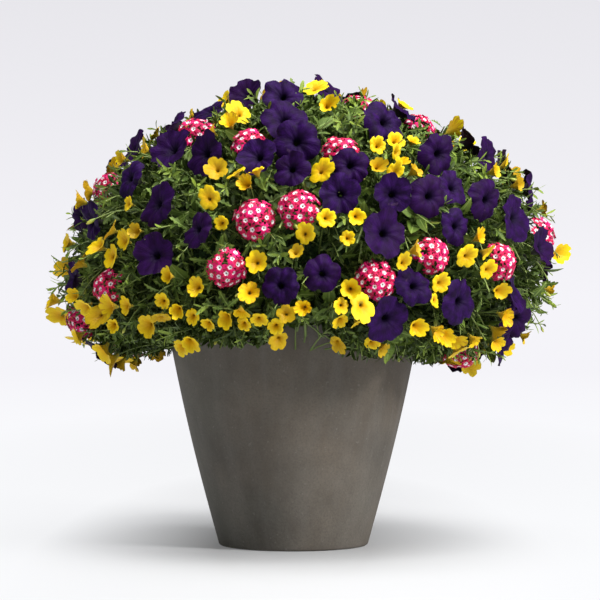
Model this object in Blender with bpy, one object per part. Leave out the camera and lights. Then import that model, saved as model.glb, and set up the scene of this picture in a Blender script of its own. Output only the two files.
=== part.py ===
import math

import bmesh
import bpy
import numpy as np
from mathutils import Matrix, Vector
from mathutils.bvhtree import BVHTree

# A tapered round pot on its base, filled with soil and a full mound of flowers.
# Metres, +Z up, the front towards -Y. The origin is the middle of the pot's base.

# Pot
POT_HEIGHT = 0.281
POT_BASE_RADIUS = 0.089
POT_RIM_RADIUS = 0.155
POT_SWELL = 0.0037
POT_WALL = 0.009
POT_FLOOR = 0.010
POT_SIDES = 30

# Soil
SOIL_TOP = 0.258
FIT_GAP = 0.0003
STEM_GAP = 0.0004
CROWN_STEM_RADIUS = 0.006
CROWN_STEM_DEPTH = 0.030
CROWN_STEM_PLACE = 0.075

# Mound: distance from its centre to the tips, for each height angle in degrees
CENTRE = np.array((0.0, 0.0, 0.285))
EYE = np.array((0.0078, -3.0, 0.293))
LEVELS = (-30, -22, -15, -8, 0, 12, 25, 38, 50, 60, 75, 90)
RIGHT_MM = (160, 190, 236, 272, 298, 316, 318, 292, 276, 268, 262, 252)
LEFT_MM = (160, 193, 238, 266, 288, 281, 284, 274, 264, 256, 254, 252)
MIDDLE_MM = (158, 188, 232, 264, 290, 296, 300, 282, 270, 264, 258, 252)

# Blooms seen from the front: right of the middle and above the ground, in centimetres
PETUNIAS_SEEN = (
    (-10.7, 53.0), (-6.7, 53.5), (-1.3, 53.3), (5.6, 54.2), (11.0, 50.4), (-19.5, 48.6),
    (-14.6, 47.4), (-9.8, 46.8), (-15.4, 50.2), (-1.4, 50.4), (-3.1, 47.4), (0.3, 47.6),
    (1.0, 45.1), (7.1, 45.1), (6.2, 42.5), (17.0, 46.8), (21.1, 48.4), (23.3, 46.4),
    (18.9, 42.8), (16.1, 41.5), (13.1, 40.4), (10.9, 38.0), (23.3, 41.3), (26.9, 39.1),
    (29.7, 43.1), (18.3, 37.3), (-24.7, 38.9), (-27.2, 39.8), (-17.1, 40.4), (-19.6, 43.7),
    (-11.7, 37.8), (-16.9, 34.7), (-26.8, 31.8), (-2.2, 31.2), (3.8, 32.3), (14.5, 30.8),
    (11.2, 28.6), (20.3, 29.0), (26.9, 29.8), (30.3, 35.9), (27.2, 27.0),
)
VERBENAS_SEEN = (
    (-12.5, 50.2), (-23.6, 43.1), (-5.8, 48.4), (3.7, 47.5), (7.9, 55.4), (15.4, 52.2),
    (-4.6, 40.4), (-0.3, 40.4), (-22.6, 31.7), (-8.5, 32.6), (10.5, 32.3), (17.8, 35.0),
    (24.9, 32.6),
)
CALIBRACHOAS_SEEN = (
    (-9.8, 49.3), (-7.1, 49.8), (-6.5, 51.4), (-17.8, 47.4), (-16.6, 49.1), (-20.2, 46.0),
    (-19.4, 40.6), (-10.1, 41.5), (-18.7, 37.9), (-21.5, 37.4), (-20.6, 36.4), (-22.7, 35.2),
    (-22.6, 34.0), (-25.3, 33.6), (-7.6, 38.8), (-8.7, 45.1), (-7.1, 45.1), (-4.5, 44.8),
    (-5.3, 42.7), (4.1, 52.4), (9.9, 47.5), (12.3, 47.0), (12.7, 45.5), (11.5, 44.5),
    (14.2, 44.3), (14.6, 48.0), (12.1, 48.2), (9.3, 45.1), (3.1, 44.2), (7.5, 40.4),
    (1.3, 37.7), (6.4, 36.6), (3.7, 39.4), (0.3, 35.0), (26.0, 46.0), (23.8, 44.6),
    (26.6, 43.0), (-14.9, 32.3), (-11.0, 31.1), (-15.7, 29.2), (-20.2, 28.6), (-21.9, 29.2),
    (-23.6, 27.7), (-24.8, 28.4), (-26.1, 29.8), (-29.2, 28.4), (-28.0, 27.4), (-27.2, 25.0),
    (-25.5, 25.0), (-21.3, 26.3), (-16.0, 26.9), (-17.1, 26.4), (-13.4, 28.0), (-12.2, 27.4),
    (-10.1, 26.5), (-7.0, 27.5), (-12.4, 24.2), (-13.3, 23.6), (-22.0, 22.4), (-22.6, 23.3),
    (-18.1, 21.4), (-3.8, 33.0), (-5.5, 29.6), (-6.7, 27.7), (-6.1, 26.9), (-3.8, 26.8),
    (-2.3, 25.8), (-1.9, 25.0), (-0.7, 28.3), (0.9, 28.3), (5.8, 28.6), (8.7, 28.6),
    (8.5, 29.5), (5.5, 26.9), (8.3, 27.2), (5.3, 24.0), (10.6, 23.6), (10.0, 24.7),
    (13.6, 33.8), (14.5, 34.7), (16.6, 32.2), (17.0, 30.2), (20.8, 34.7), (23.0, 35.0),
    (23.7, 34.2), (22.3, 35.9), (24.9, 31.2), (13.4, 26.4), (17.0, 25.6), (18.2, 25.0),
    (19.1, 24.6), (19.4, 23.3), (18.7, 21.8), (21.3, 24.6), (24.2, 24.2), (24.2, 25.9),
    (25.0, 27.4),
)

# Kinds of bloom: how many in all, how many branching stems share them, and their sizes
KINDS = ("petunia", "verbena", "calibrachoa")
SEEN = {"petunia": PETUNIAS_SEEN, "verbena": VERBENAS_SEEN, "calibrachoa": CALIBRACHOAS_SEEN}
COUNTS = {"petunia": 82, "verbena": 24, "calibrachoa": 196}
GROUPS = {"petunia": 13, "verbena": 24, "calibrachoa": 15}
RADII = {"petunia": (0.0210, 0.0275), "verbena": (0.0232, 0.0258), "calibrachoa": (0.0082, 0.0138)}
# How far the small blooms outnumber the large ones: 1 would be evenly
SMALL_SKEW = 1.6
LIFTS = {"petunia": -0.004, "verbena": -0.006, "calibrachoa": 0.001}
FORK_DEPTH = {"petunia": 0.046, "verbena": 0.040, "calibrachoa": 0.035}
# Blooms on top face outwards: the share of its height angle that each face keeps, how far
# a leaning bloom stands out as a share of its radius, and how uneven their leans are
LEANS = {"petunia": 0.48, "verbena": 0.8, "calibrachoa": 0.6}
LEAN_LIFT = 0.5
LEAN_SPREAD = 0.16
LAYOUT_SEED = 59

# Stems: their sizes, and how clear each stays of its neighbours
NECK_RADIUS = {"petunia": 0.0026, "verbena": 0.0030, "calibrachoa": 0.0022}
STEM_RADIUS = {"petunia": 0.0019, "verbena": 0.0019, "calibrachoa": 0.0014}
FORK_LENGTH = 0.0032
KNEE_LENGTH = 0.0035
MARGIN = 0.0005
CLEAR_ROOT = 0.006
NEAR_ROOT = 0.00005

# Foliage
SECTORS = 6
CORE_DEPTH = 0.072
TUFT_HEIGHTS = (0.048, 0.038, 0.028, 0.018)
TUFT_FOOT = 0.06
SHOOTS_PER_SECTOR = 3
TRAILING_PER_SECTOR = 2
LEAF_TRIES = (
    (0.6, 0.0, 1.0), (0.3, 0.3, 1.0), (1.0, -0.3, 1.0), (0.5, 0.6, 0.9), (0.5, -0.6, 0.9),
    (0.1, 0.0, 0.85), (1.5, 0.2, 0.8), (0.8, 0.5, 0.7), (0.8, -0.5, 0.7), (0.2, 0.9, 0.6),
    (0.2, -0.9, 0.6), (-0.3, 0.0, 0.55), (1.2, 0.0, 0.5), (0.5, 0.3, 0.4),
)


def lengths(vectors):
    return np.linalg.norm(vectors, axis=-1, keepdims=True)


def unit(vectors):
    return vectors / lengths(vectors)


def mound_radius(directions):
    """The mound's radius from its centre, along each direction."""
    level = np.degrees(np.arcsin(np.clip(directions[:, 2], -1.0, 1.0)))
    flat = np.hypot(directions[:, 0], directions[:, 1]) + 1e-9
    side = directions[:, 0] / flat
    turn = np.arctan2(directions[:, 1], directions[:, 0])
    right = np.interp(level, LEVELS, RIGHT_MM)
    left = np.interp(level, LEVELS, LEFT_MM)
    middle = np.interp(level, LEVELS, MIDDLE_MM)
    radius = middle + (right - middle) * np.clip(side, 0, 1) ** 2
    radius += (left - middle) * np.clip(-side, 0, 1) ** 2
    waves = 4.0 * np.sin(3 * turn + 0.7) + 3.0 * np.sin(5 * turn + 2.0)
    radius += waves * np.cos(np.radians(level)) ** 2
    return radius / 1000


def on_surface(directions, lift=0.0):
    """Points of the mound's surface along unit directions from its centre."""
    radius = mound_radius(directions) + lift
    return CENTRE + directions * radius[:, None]


def normals_at(directions):
    """Outward normals of the mound's surface."""
    step = 1e-3
    here = on_surface(directions)
    across = unit(np.cross(directions, (0.12, 0.03, 1.0)))
    along = np.cross(directions, across)
    first = on_surface(unit(directions + across * step)) - here
    second = on_surface(unit(directions + along * step)) - here
    normal = unit(np.cross(first, second))
    facing = np.sign((normal * directions).sum(axis=1, keepdims=True))
    return unit(normal * facing + 0.5 * directions)


def seen_direction(x, z):
    """The direction, from the mound's centre, of what the front view shows at x and z."""
    ray = np.array((x, 0.0, z)) - EYE
    ray = ray / np.linalg.norm(ray)
    points = EYE + ray * np.linspace(2.55, 3.12, 229)[:, None]
    outwards = points - CENTRE
    directions = unit(outwards)
    clear = lengths(outwards)[:, 0] - mound_radius(directions)
    inside = clear < 0
    place = int(np.argmax(inside)) if inside.any() else int(np.argmin(clear))
    return directions[place]


def lowest_level(directions):
    """How low the blooms hang: higher at the front, where the pot shows."""
    turn = np.arctan2(directions[:, 1], directions[:, 0])
    front = np.exp(-(((turn + math.pi / 2) / 0.55) ** 2))
    return -18.0 + 8.0 * front


def held_above(directions):
    """The same directions, none of them below the lowest level there."""
    level = np.degrees(np.arcsin(np.clip(directions[:, 2], -1.0, 1.0)))
    level = np.radians(np.maximum(level, lowest_level(directions)))
    flat = unit(directions[:, :2])
    return np.column_stack((flat * np.cos(level)[:, None], np.sin(level)))


def hidden_directions(count, others, rng, low_share, high_share):
    """More directions on the sides and the back, well spaced from the others."""
    chosen = list(others)
    added = []
    while len(added) < count:
        tries = unit(rng.normal(size=(400, 3)))
        level = np.degrees(np.arcsin(tries[:, 2]))
        view = unit(EYE - on_surface(tries))
        facing = (normals_at(tries) * view).sum(axis=1)
        share = np.where(level < 12, low_share, high_share)
        keep = (facing < 0.14) & (level > lowest_level(tries)) & (rng.random(400) < share)
        tries = tries[keep][:14]
        gaps = lengths(tries[:, None] - np.array(chosen)[None])[:, :, 0].min(axis=1)
        best = tries[int(np.argmax(gaps))]
        chosen.append(best)
        added.append(best)
    return added


def leant_out(normals, shares):
    """The same normals, each upward one leant out to a share of its height angle."""
    level = np.arcsin(np.clip(normals[:, 2], -1.0, 1.0))
    level = np.where(level > 0, level * shares, level)
    flat = unit(normals[:, :2] + 1e-9)
    return np.column_stack((flat * np.cos(level)[:, None], np.sin(level)))


def place_blooms():
    """Every bloom's kind, direction, centre, axis, radius and spin."""
    rng = np.random.default_rng(LAYOUT_SEED)
    shares = {"petunia": (0.7, 1.0), "verbena": (0.9, 1.0), "calibrachoa": (1.0, 0.8)}
    kinds, directions = [], []
    for kind in KINDS:
        seen = [seen_direction(x / 100, z / 100) for x, z in SEEN[kind]]
        more = hidden_directions(COUNTS[kind] - len(seen), seen, rng, *shares[kind])
        directions += seen + more
        kinds += [kind] * COUNTS[kind]
    directions = held_above(np.array(directions))
    kinds = np.array(kinds)
    low = np.array([RADII[kind][0] for kind in kinds])
    high = np.array([RADII[kind][1] for kind in kinds])
    radii = low + (high - low) * rng.random(len(kinds)) ** SMALL_SKEW
    lifts = np.array([LIFTS[kind] for kind in kinds]) + rng.uniform(-0.002, 0.003, len(kinds))
    places = on_surface(directions)
    wanted = places.copy()
    apart = radii[:, None] + radii[None] + 0.0016
    np.fill_diagonal(apart, 0.0)
    for _ in range(160):
        gaps = places[:, None] - places[None]
        far = lengths(gaps)[:, :, 0] + 1e-9
        push = np.maximum(apart - far, 0.0)
        moves = (gaps / far[:, :, None] * push[:, :, None]).sum(axis=1) * 0.35
        places = places + moves + (wanted - places) * 0.03
        directions = held_above(unit(places - CENTRE))
        places = on_surface(directions)
    normals = normals_at(directions)
    faces = leant_out(normals, np.array([LEANS[kind] for kind in kinds]))
    turned = np.sqrt(np.maximum(1 - (faces * normals).sum(axis=1) ** 2, 0))
    lifts += LEAN_LIFT * radii * turned * (kinds != "verbena")
    axes = unit(faces + rng.normal(size=normals.shape) * LEAN_SPREAD)
    centres = on_surface(directions) + directions * lifts[:, None]
    spins = rng.uniform(0, 2 * math.pi, len(kinds))
    return kinds, directions, centres, axes, radii, spins


def grouped(points, count):
    """Neighbouring points in the same group: a group number for each point."""
    seeds = [int(np.argmax(points[:, 2]))]
    while len(seeds) < count:
        gaps = lengths(points[:, None] - points[seeds][None])[:, :, 0].min(axis=1)
        seeds.append(int(np.argmax(gaps)))
    middles = points[seeds]
    for _ in range(14):
        group = lengths(points[:, None] - middles[None])[:, :, 0].argmin(axis=1)
        middles = np.array([points[group == g].mean(axis=0) for g in range(count)])
    return group


def ring(centre, direction, side, radius, count, start=0.0):
    """Points round a centre, anticlockwise about the direction."""
    other = direction.cross(side)
    turns = [start + 2 * math.pi * i / count for i in range(count)]
    return [centre + (side * math.cos(t) + other * math.sin(t)) * radius for t in turns]


def band(lower, upper, below, above):
    """The faces between two rings of as many points, folded along the shorter diagonals."""
    count = len(lower)
    turns = [(i, (i + 1) % count) for i in range(count)]
    rising = sum((lower[j] - upper[i]).length for i, j in turns)
    falling = sum((lower[i] - upper[j]).length for i, j in turns)
    faces = []
    for i, j in turns:
        if rising <= falling:
            faces += [(below + i, below + j, above + i), (below + j, above + j, above + i)]
        else:
            faces += [(below + i, below + j, above + j), (below + i, above + j, above + i)]
    return faces


def skin(rings, end=None):
    """A closed shape over rings, from a flat first ring to a last point or a flat last ring."""
    points, faces, starts = [], [], []
    for one in rings:
        starts.append(len(points))
        points += one
    for one, above in enumerate(starts[1:]):
        below = starts[one]
        n, m = len(rings[one]), len(rings[one + 1])
        if n == m:
            faces += band(rings[one], rings[one + 1], below, above)
            continue
        i = j = 0
        while i < n or j < m:
            if j == m or (i < n and (i + 1) * m <= (j + 1) * n):
                faces.append((below + i % n, below + (i + 1) % n, above + j % m))
                i += 1
            else:
                faces.append((below + i % n, above + (j + 1) % m, above + j % m))
                j += 1
    last, n = starts[-1], len(rings[-1])
    if end is None:
        faces += [(last, last + i, last + i + 1) for i in range(1, n - 1)]
    else:
        points.append(end)
        faces += [(last + i, last + (i + 1) % n, len(points) - 1) for i in range(n)]
    faces += [(0, i + 1, i) for i in range(1, len(rings[0]) - 1)]
    return points, faces


def sideways(direction, spin=0.0):
    """A unit vector square to the direction."""
    base = direction.cross(Vector((0.31, 0.17, 0.93)))
    base.normalize()
    return Matrix.Rotation(spin, 3, direction) @ base


def stem_rings(path, radii, axis, side, flat=None):
    """Three-point rings along a path from the bloom down to the root, listed root first."""
    rings = []
    last = axis
    for i, point in enumerate(path):
        before, after = path[max(i - 1, 0)], path[min(i + 1, len(path) - 1)]
        direction = (before - after).normalized()
        if i == 0:
            direction = (direction + axis).normalized()
        if flat is not None and i == len(path) - 1:
            direction = flat
        side = last.rotation_difference(direction) @ side
        last = direction
        rings.append(ring(point, direction, side, radii[i], 3))
    return rings[::-1]


def lined_up(corners, above):
    """The three corners in the order that lies nearest to the ring above them."""
    turns = [corners[i:] + corners[:i] for i in range(3)]
    return min(turns, key=lambda c: sum((a[1] - b).length for a, b in zip(c, above)))


def petunia_rings(centre, axis, spin, radius, grow):
    """A wide five-lobed funnel: its neck, the rings above it and its last point."""
    side = sideways(axis, spin)
    rim = []
    for i, point in enumerate(ring(centre, axis, side, 1.0, 10)):
        lobe = i % 2 == 0
        out = radius * (1.0 if lobe else 0.86) + grow
        rim.append(centre + (point - centre) * out + axis * (-0.0015 if lobe else 0.0008))
    throat = ring(centre - axis * (0.0035 - grow), axis, side, radius * 0.30, 5)
    return centre - axis * 0.024, [rim, throat], centre - axis * 0.011


def calibrachoa_rings(centre, axis, spin, radius, grow):
    """A small trumpet with a corner for each of its five lobes: its neck, rim and last point."""
    side = sideways(axis, spin)
    rim = ring(centre, axis, side, radius + grow, 5)
    return centre - axis * 0.009, [rim], centre - axis * 0.0045


FUNNELS = {"petunia": petunia_rings, "calibrachoa": calibrachoa_rings}


def funnel(kind, centre, axis, spin, radius, path, root=None, flat=None, grow=0.0):
    """A bloom on its stem. The root is three numbered corners of the stem that it grows from."""
    neck, upper, pit = FUNNELS[kind](centre, axis, spin, radius, grow)
    thin = STEM_RADIUS[kind] + grow
    radii = [NECK_RADIUS[kind] + grow] + [thin] * len(path)
    rings = stem_rings([neck] + path, radii, axis, sideways(axis, spin), flat)
    if root is not None:
        root = lined_up(root, rings[0])
        rings = [[corner for _, corner in root]] + rings
    return skin(rings + upper, pit), root


def floret_dome(centre, axis, spin, radius, path, flat, grow=0.0):
    """A dome of five-sided florets on a stem along the path, raised at the top."""
    side = sideways(axis, spin)
    reach = radius + grow
    tiers = ((0.34, 0.0052, 0.0), (0.70, 0.0030, 0.0), (0.84, -0.0022, 0.5), (0.88, -0.0098, 0.5))
    rings = [
        ring(centre + axis * height, axis, side, reach * share, 5, turn * 2 * math.pi / 5)
        for share, height, turn in tiers
    ]
    neck = centre - axis * 0.017
    radii = [NECK_RADIUS["verbena"] + grow] + [STEM_RADIUS["verbena"] + grow] * len(path)
    stem = stem_rings([neck] + path, radii, axis, side, flat)
    points, faces = skin(stem + [rings[3]])
    faces = faces[:-4] + faces[-1:]
    base = len(points) - 5
    points += rings[2] + rings[1] + rings[0]
    fourth = [base + i for i in range(5)]
    third = [base + 5 + i for i in range(5)]
    second = [base + 10 + i for i in range(5)]
    first = [base + 15 + i for i in range(5)]
    florets, lower = [first], []
    for i in range(5):
        j = (i + 1) % 5
        florets.append([first[i], second[i], third[i], second[j], first[j]])
        lower.append([third[i], fourth[i], fourth[j], third[j], second[j]])
    for corners in florets:
        middle = sum((points[i] for i in corners), Vector()) / 5
        out = (points[corners[1]] - points[corners[0]]).cross(points[corners[2]] - points[corners[0]])
        out.normalize()
        start = len(points)
        points += [middle + (points[i] - middle) * 0.95 + out * (0.0026 + grow) for i in corners]
        for i in range(5):
            j = (i + 1) % 5
            faces.append((corners[i], corners[j], start + j))
            faces.append((corners[i], start + j, start + i))
        faces += [(start, start + i, start + i + 1) for i in (1, 2, 3)]
    for corners in lower:
        middle = sum((points[i] for i in corners), Vector()) / 5
        out = (points[corners[1]] - points[corners[0]]).cross(points[corners[2]] - points[corners[0]])
        points.append(middle + out.normalized() * (0.0030 + grow))
        peak = len(points) - 1
        faces += [(corners[i], corners[(i + 1) % 5], peak) for i in range(5)]
    return points, faces


def blade_ring(root, aim, side, length, width, thick):
    """The widest ring of a keeled leaf blade, and its tip."""
    face = aim.cross(side)
    middle = root + aim * length * 0.45
    tip = root + aim * length - face * length * 0.12
    return [middle + side * width / 2, middle - side * width / 2, middle - face * thick], tip


class Growth:
    """One closed mesh that branches from its own triangles."""

    def __init__(self):
        self.points, self.faces = [], []

    def add(self, shape, root=None, root_face=None):
        """Adds a shape, whose first three points are the root's corners if it has one."""
        points, faces = shape
        start = len(self.points)
        if root is None:
            self.points += points
            numbers = [start + i for i in range(len(points))]
        else:
            self.points += points[3:]
            numbers = [number for number, _ in root]
            numbers += [start + i for i in range(len(points) - 3)]
            faces = faces[:-1]
            self.faces[root_face] = None
        first = len(self.faces)
        self.faces += [tuple(numbers[i] for i in face) for face in faces]
        return first

    def corners(self, face):
        return [(number, self.points[number]) for number in self.faces[face]]

    def shape(self):
        return self.points, [face for face in self.faces if face is not None]


def facing_out(corners):
    a, b, c = [corner for _, corner in corners]
    return (b - a).cross(c - a).normalized()


def middle_of(corners):
    return sum((corner for _, corner in corners), Vector()) / 3


def turned_out(points, faces):
    """The faces, all turned over if they point inwards."""
    volume = sum(points[a].dot(points[b].cross(points[c])) for a, b, c in faces)
    return [face[::-1] for face in faces] if volume < 0 else faces


def off_its_root(shape, distance):
    """The shape with its first three points moved towards the next three."""
    points = list(shape[0])
    for i in range(3):
        line = points[i + 3] - points[i]
        points[i] = points[i] + line * min(0.5, distance / line.length)
    return points, shape[1]


def tree_of(shape):
    return BVHTree.FromPolygons([tuple(p) for p in shape[0]], shape[1])


def crosses_itself(shape):
    """Whether faces of the shape that share no corner meet."""
    tree = tree_of(shape)
    corners = [set(face) for face in shape[1]]
    return any(a < b and not corners[a] & corners[b] for a, b in tree.overlap(tree))


def box_of(shape):
    points = np.array([tuple(p) for p in shape[0]])
    return points.min(axis=0) - 0.0005, points.max(axis=0) + 0.0005


class Taken:
    """The shapes already placed."""

    def __init__(self):
        self.trees, self.lows, self.highs = [], [], []

    def add(self, shape):
        low, high = box_of(shape)
        self.trees.append(tree_of(shape))
        self.lows.append(low)
        self.highs.append(high)
        return len(self.trees) - 1

    def add_branch(self, shape):
        """Adds a branch whole, and also clear of its root for the test of its neighbours."""
        self.add(off_its_root(shape, NEAR_ROOT))
        return self.add(shape)

    def clear_for(self, shape, grown, others):
        """Whether a branch is clear of everything but the roots of the others beside it."""
        if self.meets(off_its_root(grown, CLEAR_ROOT), others):
            return False
        return not self.meets(off_its_root(shape, NEAR_ROOT), others)

    def meets(self, shape, apart_from=()):
        """Whether the shape meets one that is already placed."""
        low, high = box_of(shape)
        lows, highs = np.array(self.lows), np.array(self.highs)
        near = np.nonzero(((lows <= high) & (highs >= low)).all(axis=1))[0]
        near = [i for i in near if i not in apart_from]
        if not near:
            return False
        tree = tree_of(shape)
        return any(tree.overlap(self.trees[i]) for i in near)


def mesh_object(name, points, faces, smooth=False):
    mesh = bpy.data.meshes.new(name)
    mesh.from_pydata([tuple(p) for p in points], [], [tuple(f) for f in faces])
    mesh.update()
    if smooth:
        mesh.shade_smooth()
    obj = bpy.data.objects.new(name, mesh)
    bpy.context.scene.collection.objects.link(obj)
    return obj


def shape_of(obj):
    """An object's points and faces."""
    points = [vertex.co.copy() for vertex in obj.data.vertices]
    return points, [tuple(face.vertices) for face in obj.data.polygons]


def with_modifiers_applied(obj):
    bpy.context.view_layer.update()
    graph = bpy.context.evaluated_depsgraph_get()
    mesh = bpy.data.meshes.new_from_object(obj.evaluated_get(graph))
    obj.modifiers.clear()
    obj.data = mesh


def union_of(name, shapes):
    """One solid from overlapping closed shapes."""
    obj = mesh_object(name, *shapes[0])
    if len(shapes) == 1:
        return obj
    others = bpy.data.collections.new(name + "_pieces")
    bpy.context.scene.collection.children.link(others)
    for i, shape in enumerate(shapes[1:]):
        piece = mesh_object(f"{name}_piece_{i}", *shape)
        bpy.context.scene.collection.objects.unlink(piece)
        others.objects.link(piece)
    join = obj.modifiers.new("join", "BOOLEAN")
    join.operation = "UNION"
    join.operand_type = "COLLECTION"
    join.collection = others
    with_modifiers_applied(obj)
    for piece in list(others.objects):
        bpy.data.objects.remove(piece)
    bpy.data.collections.remove(others)
    return obj


def coloured(obj, name, colour, roughness):
    material = bpy.data.materials.get(name) or bpy.data.materials.new(name)
    material.use_nodes = True
    shader = material.node_tree.nodes["Principled BSDF"]
    shader.inputs["Base Color"].default_value = (*colour, 1.0)
    shader.inputs["Roughness"].default_value = roughness
    shader.inputs["Metallic"].default_value = 0.0
    material.diffuse_color = (*colour, 1.0)
    obj.data.materials.clear()
    obj.data.materials.append(material)
    return obj


def lathe(name, outline, sides, smooth=True):
    """A solid turned about Z from (radius, height) pairs, listed anticlockwise."""
    points, faces, rings = [], [], []
    for radius, height in outline:
        if radius < 1e-6:
            rings.append([len(points)] * sides)
            points.append((0.0, 0.0, height))
            continue
        rings.append([len(points) + i for i in range(sides)])
        for i in range(sides):
            turn = 2 * math.pi * i / sides
            points.append((radius * math.cos(turn), radius * math.sin(turn), height))
    for below, above in zip(rings, rings[1:]):
        for i in range(sides):
            j = (i + 1) % sides
            corners = [below[i], below[j], above[j], above[i]]
            corners = [c for k, c in enumerate(corners) if c not in corners[:k]]
            if len(corners) > 2:
                faces.append(corners)
    return mesh_object(name, points, faces, smooth)


def pot_radius(height):
    share = height / POT_HEIGHT
    straight = POT_BASE_RADIUS + (POT_RIM_RADIUS - POT_BASE_RADIUS) * share
    return straight + POT_SWELL * math.sin(math.pi * share)


def build_pot():
    outline = [(0.0, 0.0), (POT_BASE_RADIUS - 0.004, 0.0), (POT_BASE_RADIUS - 0.0008, 0.0012)]
    outline.append((pot_radius(0.004), 0.004))
    outline += [(pot_radius(h), h) for h in (0.070, 0.140, 0.210)]
    top = POT_HEIGHT
    rim = pot_radius(top)
    outline += [(rim, top - 0.003), (rim - 0.002, top)]
    outline += [(rim - POT_WALL + 0.002, top), (rim - POT_WALL, top - 0.003)]
    outline += [(pot_radius(h) - POT_WALL, h) for h in (0.140, POT_FLOOR)]
    outline.append((0.0, POT_FLOOR))
    pot = lathe("planter_pot", outline, POT_SIDES)
    return coloured(pot, "pot_clay", (0.13, 0.118, 0.10), 0.75)


def crown_places():
    turns = [2 * math.pi * (i + 0.5) / SECTORS for i in range(SECTORS)]
    return [(CROWN_STEM_PLACE * math.cos(t), CROWN_STEM_PLACE * math.sin(t)) for t in turns]


def inner_radius(height):
    """The pot's inner wall, which is straight below and above its middle."""
    heights = (POT_FLOOR, 0.140, POT_HEIGHT - 0.003)
    walls = [pot_radius(h) - POT_WALL for h in heights[:2]] + [pot_radius(POT_HEIGHT) - POT_WALL]
    return float(np.interp(height, heights, walls))


def build_soil():
    bottom = POT_FLOOR + FIT_GAP
    edge = SOIL_TOP - 0.003
    side = [(inner_radius(h) - 2 * FIT_GAP, h) for h in (bottom, 0.140, edge)]
    outline = [(0.0, bottom)] + side + [(0.122, SOIL_TOP), (0.0, SOIL_TOP)]
    soil = lathe("potting_soil", outline, POT_SIDES, smooth=False)
    for i, (x, y) in enumerate(crown_places()):
        low = SOIL_TOP - CROWN_STEM_DEPTH - 2 * FIT_GAP
        up = Vector((0, 0, 1))
        side = Vector((1, 0, 0))
        wide = CROWN_STEM_RADIUS + STEM_GAP
        hole = [ring(Vector((x, y, z)), up, side, wide, 8) for z in (low, SOIL_TOP + 0.02)]
        cutter = mesh_object("hole", *skin(hole))
        cut = soil.modifiers.new(f"hole_{i}", "BOOLEAN")
        cut.operation = "DIFFERENCE"
        cut.object = cutter
        with_modifiers_applied(soil)
        bpy.data.objects.remove(cutter)
    return coloured(soil, "soil", (0.035, 0.024, 0.016), 0.95)


def core_shape(sector):
    """A wedge of the leafy mound's dense inside, with a crown stem under it."""
    start = 2 * math.pi * sector / SECTORS
    columns = 7
    turns = [start + 2 * math.pi / SECTORS * i / (columns - 1) for i in range(columns)]
    levels = np.radians((-6.0, 5.0, 16.0, 27.0, 38.0, 50.0, 62.0, 75.0))
    middle = start + math.pi / SECTORS
    shift = Vector((math.cos(middle), math.sin(middle), 0.0)) * 0.0006
    outlines = []
    for turn in turns:
        flat = np.array((math.cos(turn), math.sin(turn)))
        rows = np.column_stack((np.outer(np.cos(levels), flat), np.sin(levels)))
        outer = on_surface(rows, -CORE_DEPTH)
        outline = [(0.1365, SOIL_TOP + STEM_GAP), (0.1365, 0.2828), (0.1625, 0.2828), (0.166, 0.262)]
        outline += [(math.hypot(p[0], p[1]), p[2]) for p in outer]
        outlines.append([Vector((r * flat[0], r * flat[1], z)) for r, z in outline])
    rows = len(outlines[0])
    top = Vector(on_surface(np.array([(0.0, 0.0, 1.0)]), -CORE_DEPTH)[0])
    base = Vector((0.0, 0.0, SOIL_TOP + STEM_GAP))
    points = [p + shift for outline in outlines for p in outline] + [base + shift, top + shift]
    low, high = len(points) - 2, len(points) - 1
    faces = []
    for i in range(columns - 1):
        a, b = i * rows, (i + 1) * rows
        faces.append((low, b, a))
        faces.append((a + rows - 1, b + rows - 1, high))
        for k in range(rows - 1):
            faces.append((a + k, b + k, b + k + 1, a + k + 1))
    hub = 6
    for first in (0, (columns - 1) * rows):
        faces += [(low, first, first + 1), (low, first + 1, high), (first + 1, first + hub, high)]
        faces += [(first + k, first + k + 1, first + hub) for k in range(1, hub - 1)]
        faces += [(first + k, first + k + 1, high) for k in range(hub, rows - 1)]
    mesh = bmesh.new()
    made = [mesh.verts.new(p) for p in points]
    for face in faces:
        mesh.faces.new([made[i] for i in face])
    bmesh.ops.triangulate(mesh, faces=mesh.faces)
    bmesh.ops.recalc_face_normals(mesh, faces=mesh.faces)
    mesh.verts.index_update()
    triangles = [tuple(v.index for v in f.verts) for f in mesh.faces]
    mesh.free()
    return points, turned_out(points, triangles)


def with_tufts(core, number, taken, rng):
    """The core with a pointed leaf tuft on each outer face that has room for one."""
    points, faces = list(core[0]), []
    own, whole = [number], []
    for face in core[1]:
        a, b, c = (core[0][i] for i in face)
        normal = (b - a).cross(c - a).normalized()
        middle = (a + b + c) / 3
        away = middle - Vector(CENTRE)
        tuft = None
        if normal.dot(away.normalized()) > 0.5 and away.length > 0.16:
            for height in TUFT_HEIGHTS:
                lean = Vector(rng.uniform(-0.16, 0.16, 3)) + Vector((0, 0, 0.22))
                tip = middle + (normal + lean) * height
                shape = ([a, b, c, tip], [(0, 1, 3), (1, 2, 3), (2, 0, 3), (0, 2, 1)])
                upper = ([p.lerp(tip, TUFT_FOOT) for p in (a, b, c)] + [tip], shape[1])
                if not (taken.meets(shape, own) or taken.meets(upper, (number,) + tuple(whole))):
                    tuft = tip
                    whole.append(taken.add(shape))
                    own += [whole[-1], taken.add(upper)]
                    break
        if tuft is None:
            faces.append(face)
            continue
        points.append(tuft)
        top = len(points) - 1
        faces += [(face[0], face[1], top), (face[1], face[2], top), (face[2], face[0], top)]
    return points, faces


def crown_stem(sector):
    x, y = crown_places()[sector]
    up, side = Vector((0, 0, 1)), Vector((1, 0, 0))
    heights = (SOIL_TOP - CROWN_STEM_DEPTH, SOIL_TOP + 0.012)
    return skin([ring(Vector((x, y, z)), up, side, CROWN_STEM_RADIUS, 8) for z in heights])


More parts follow.
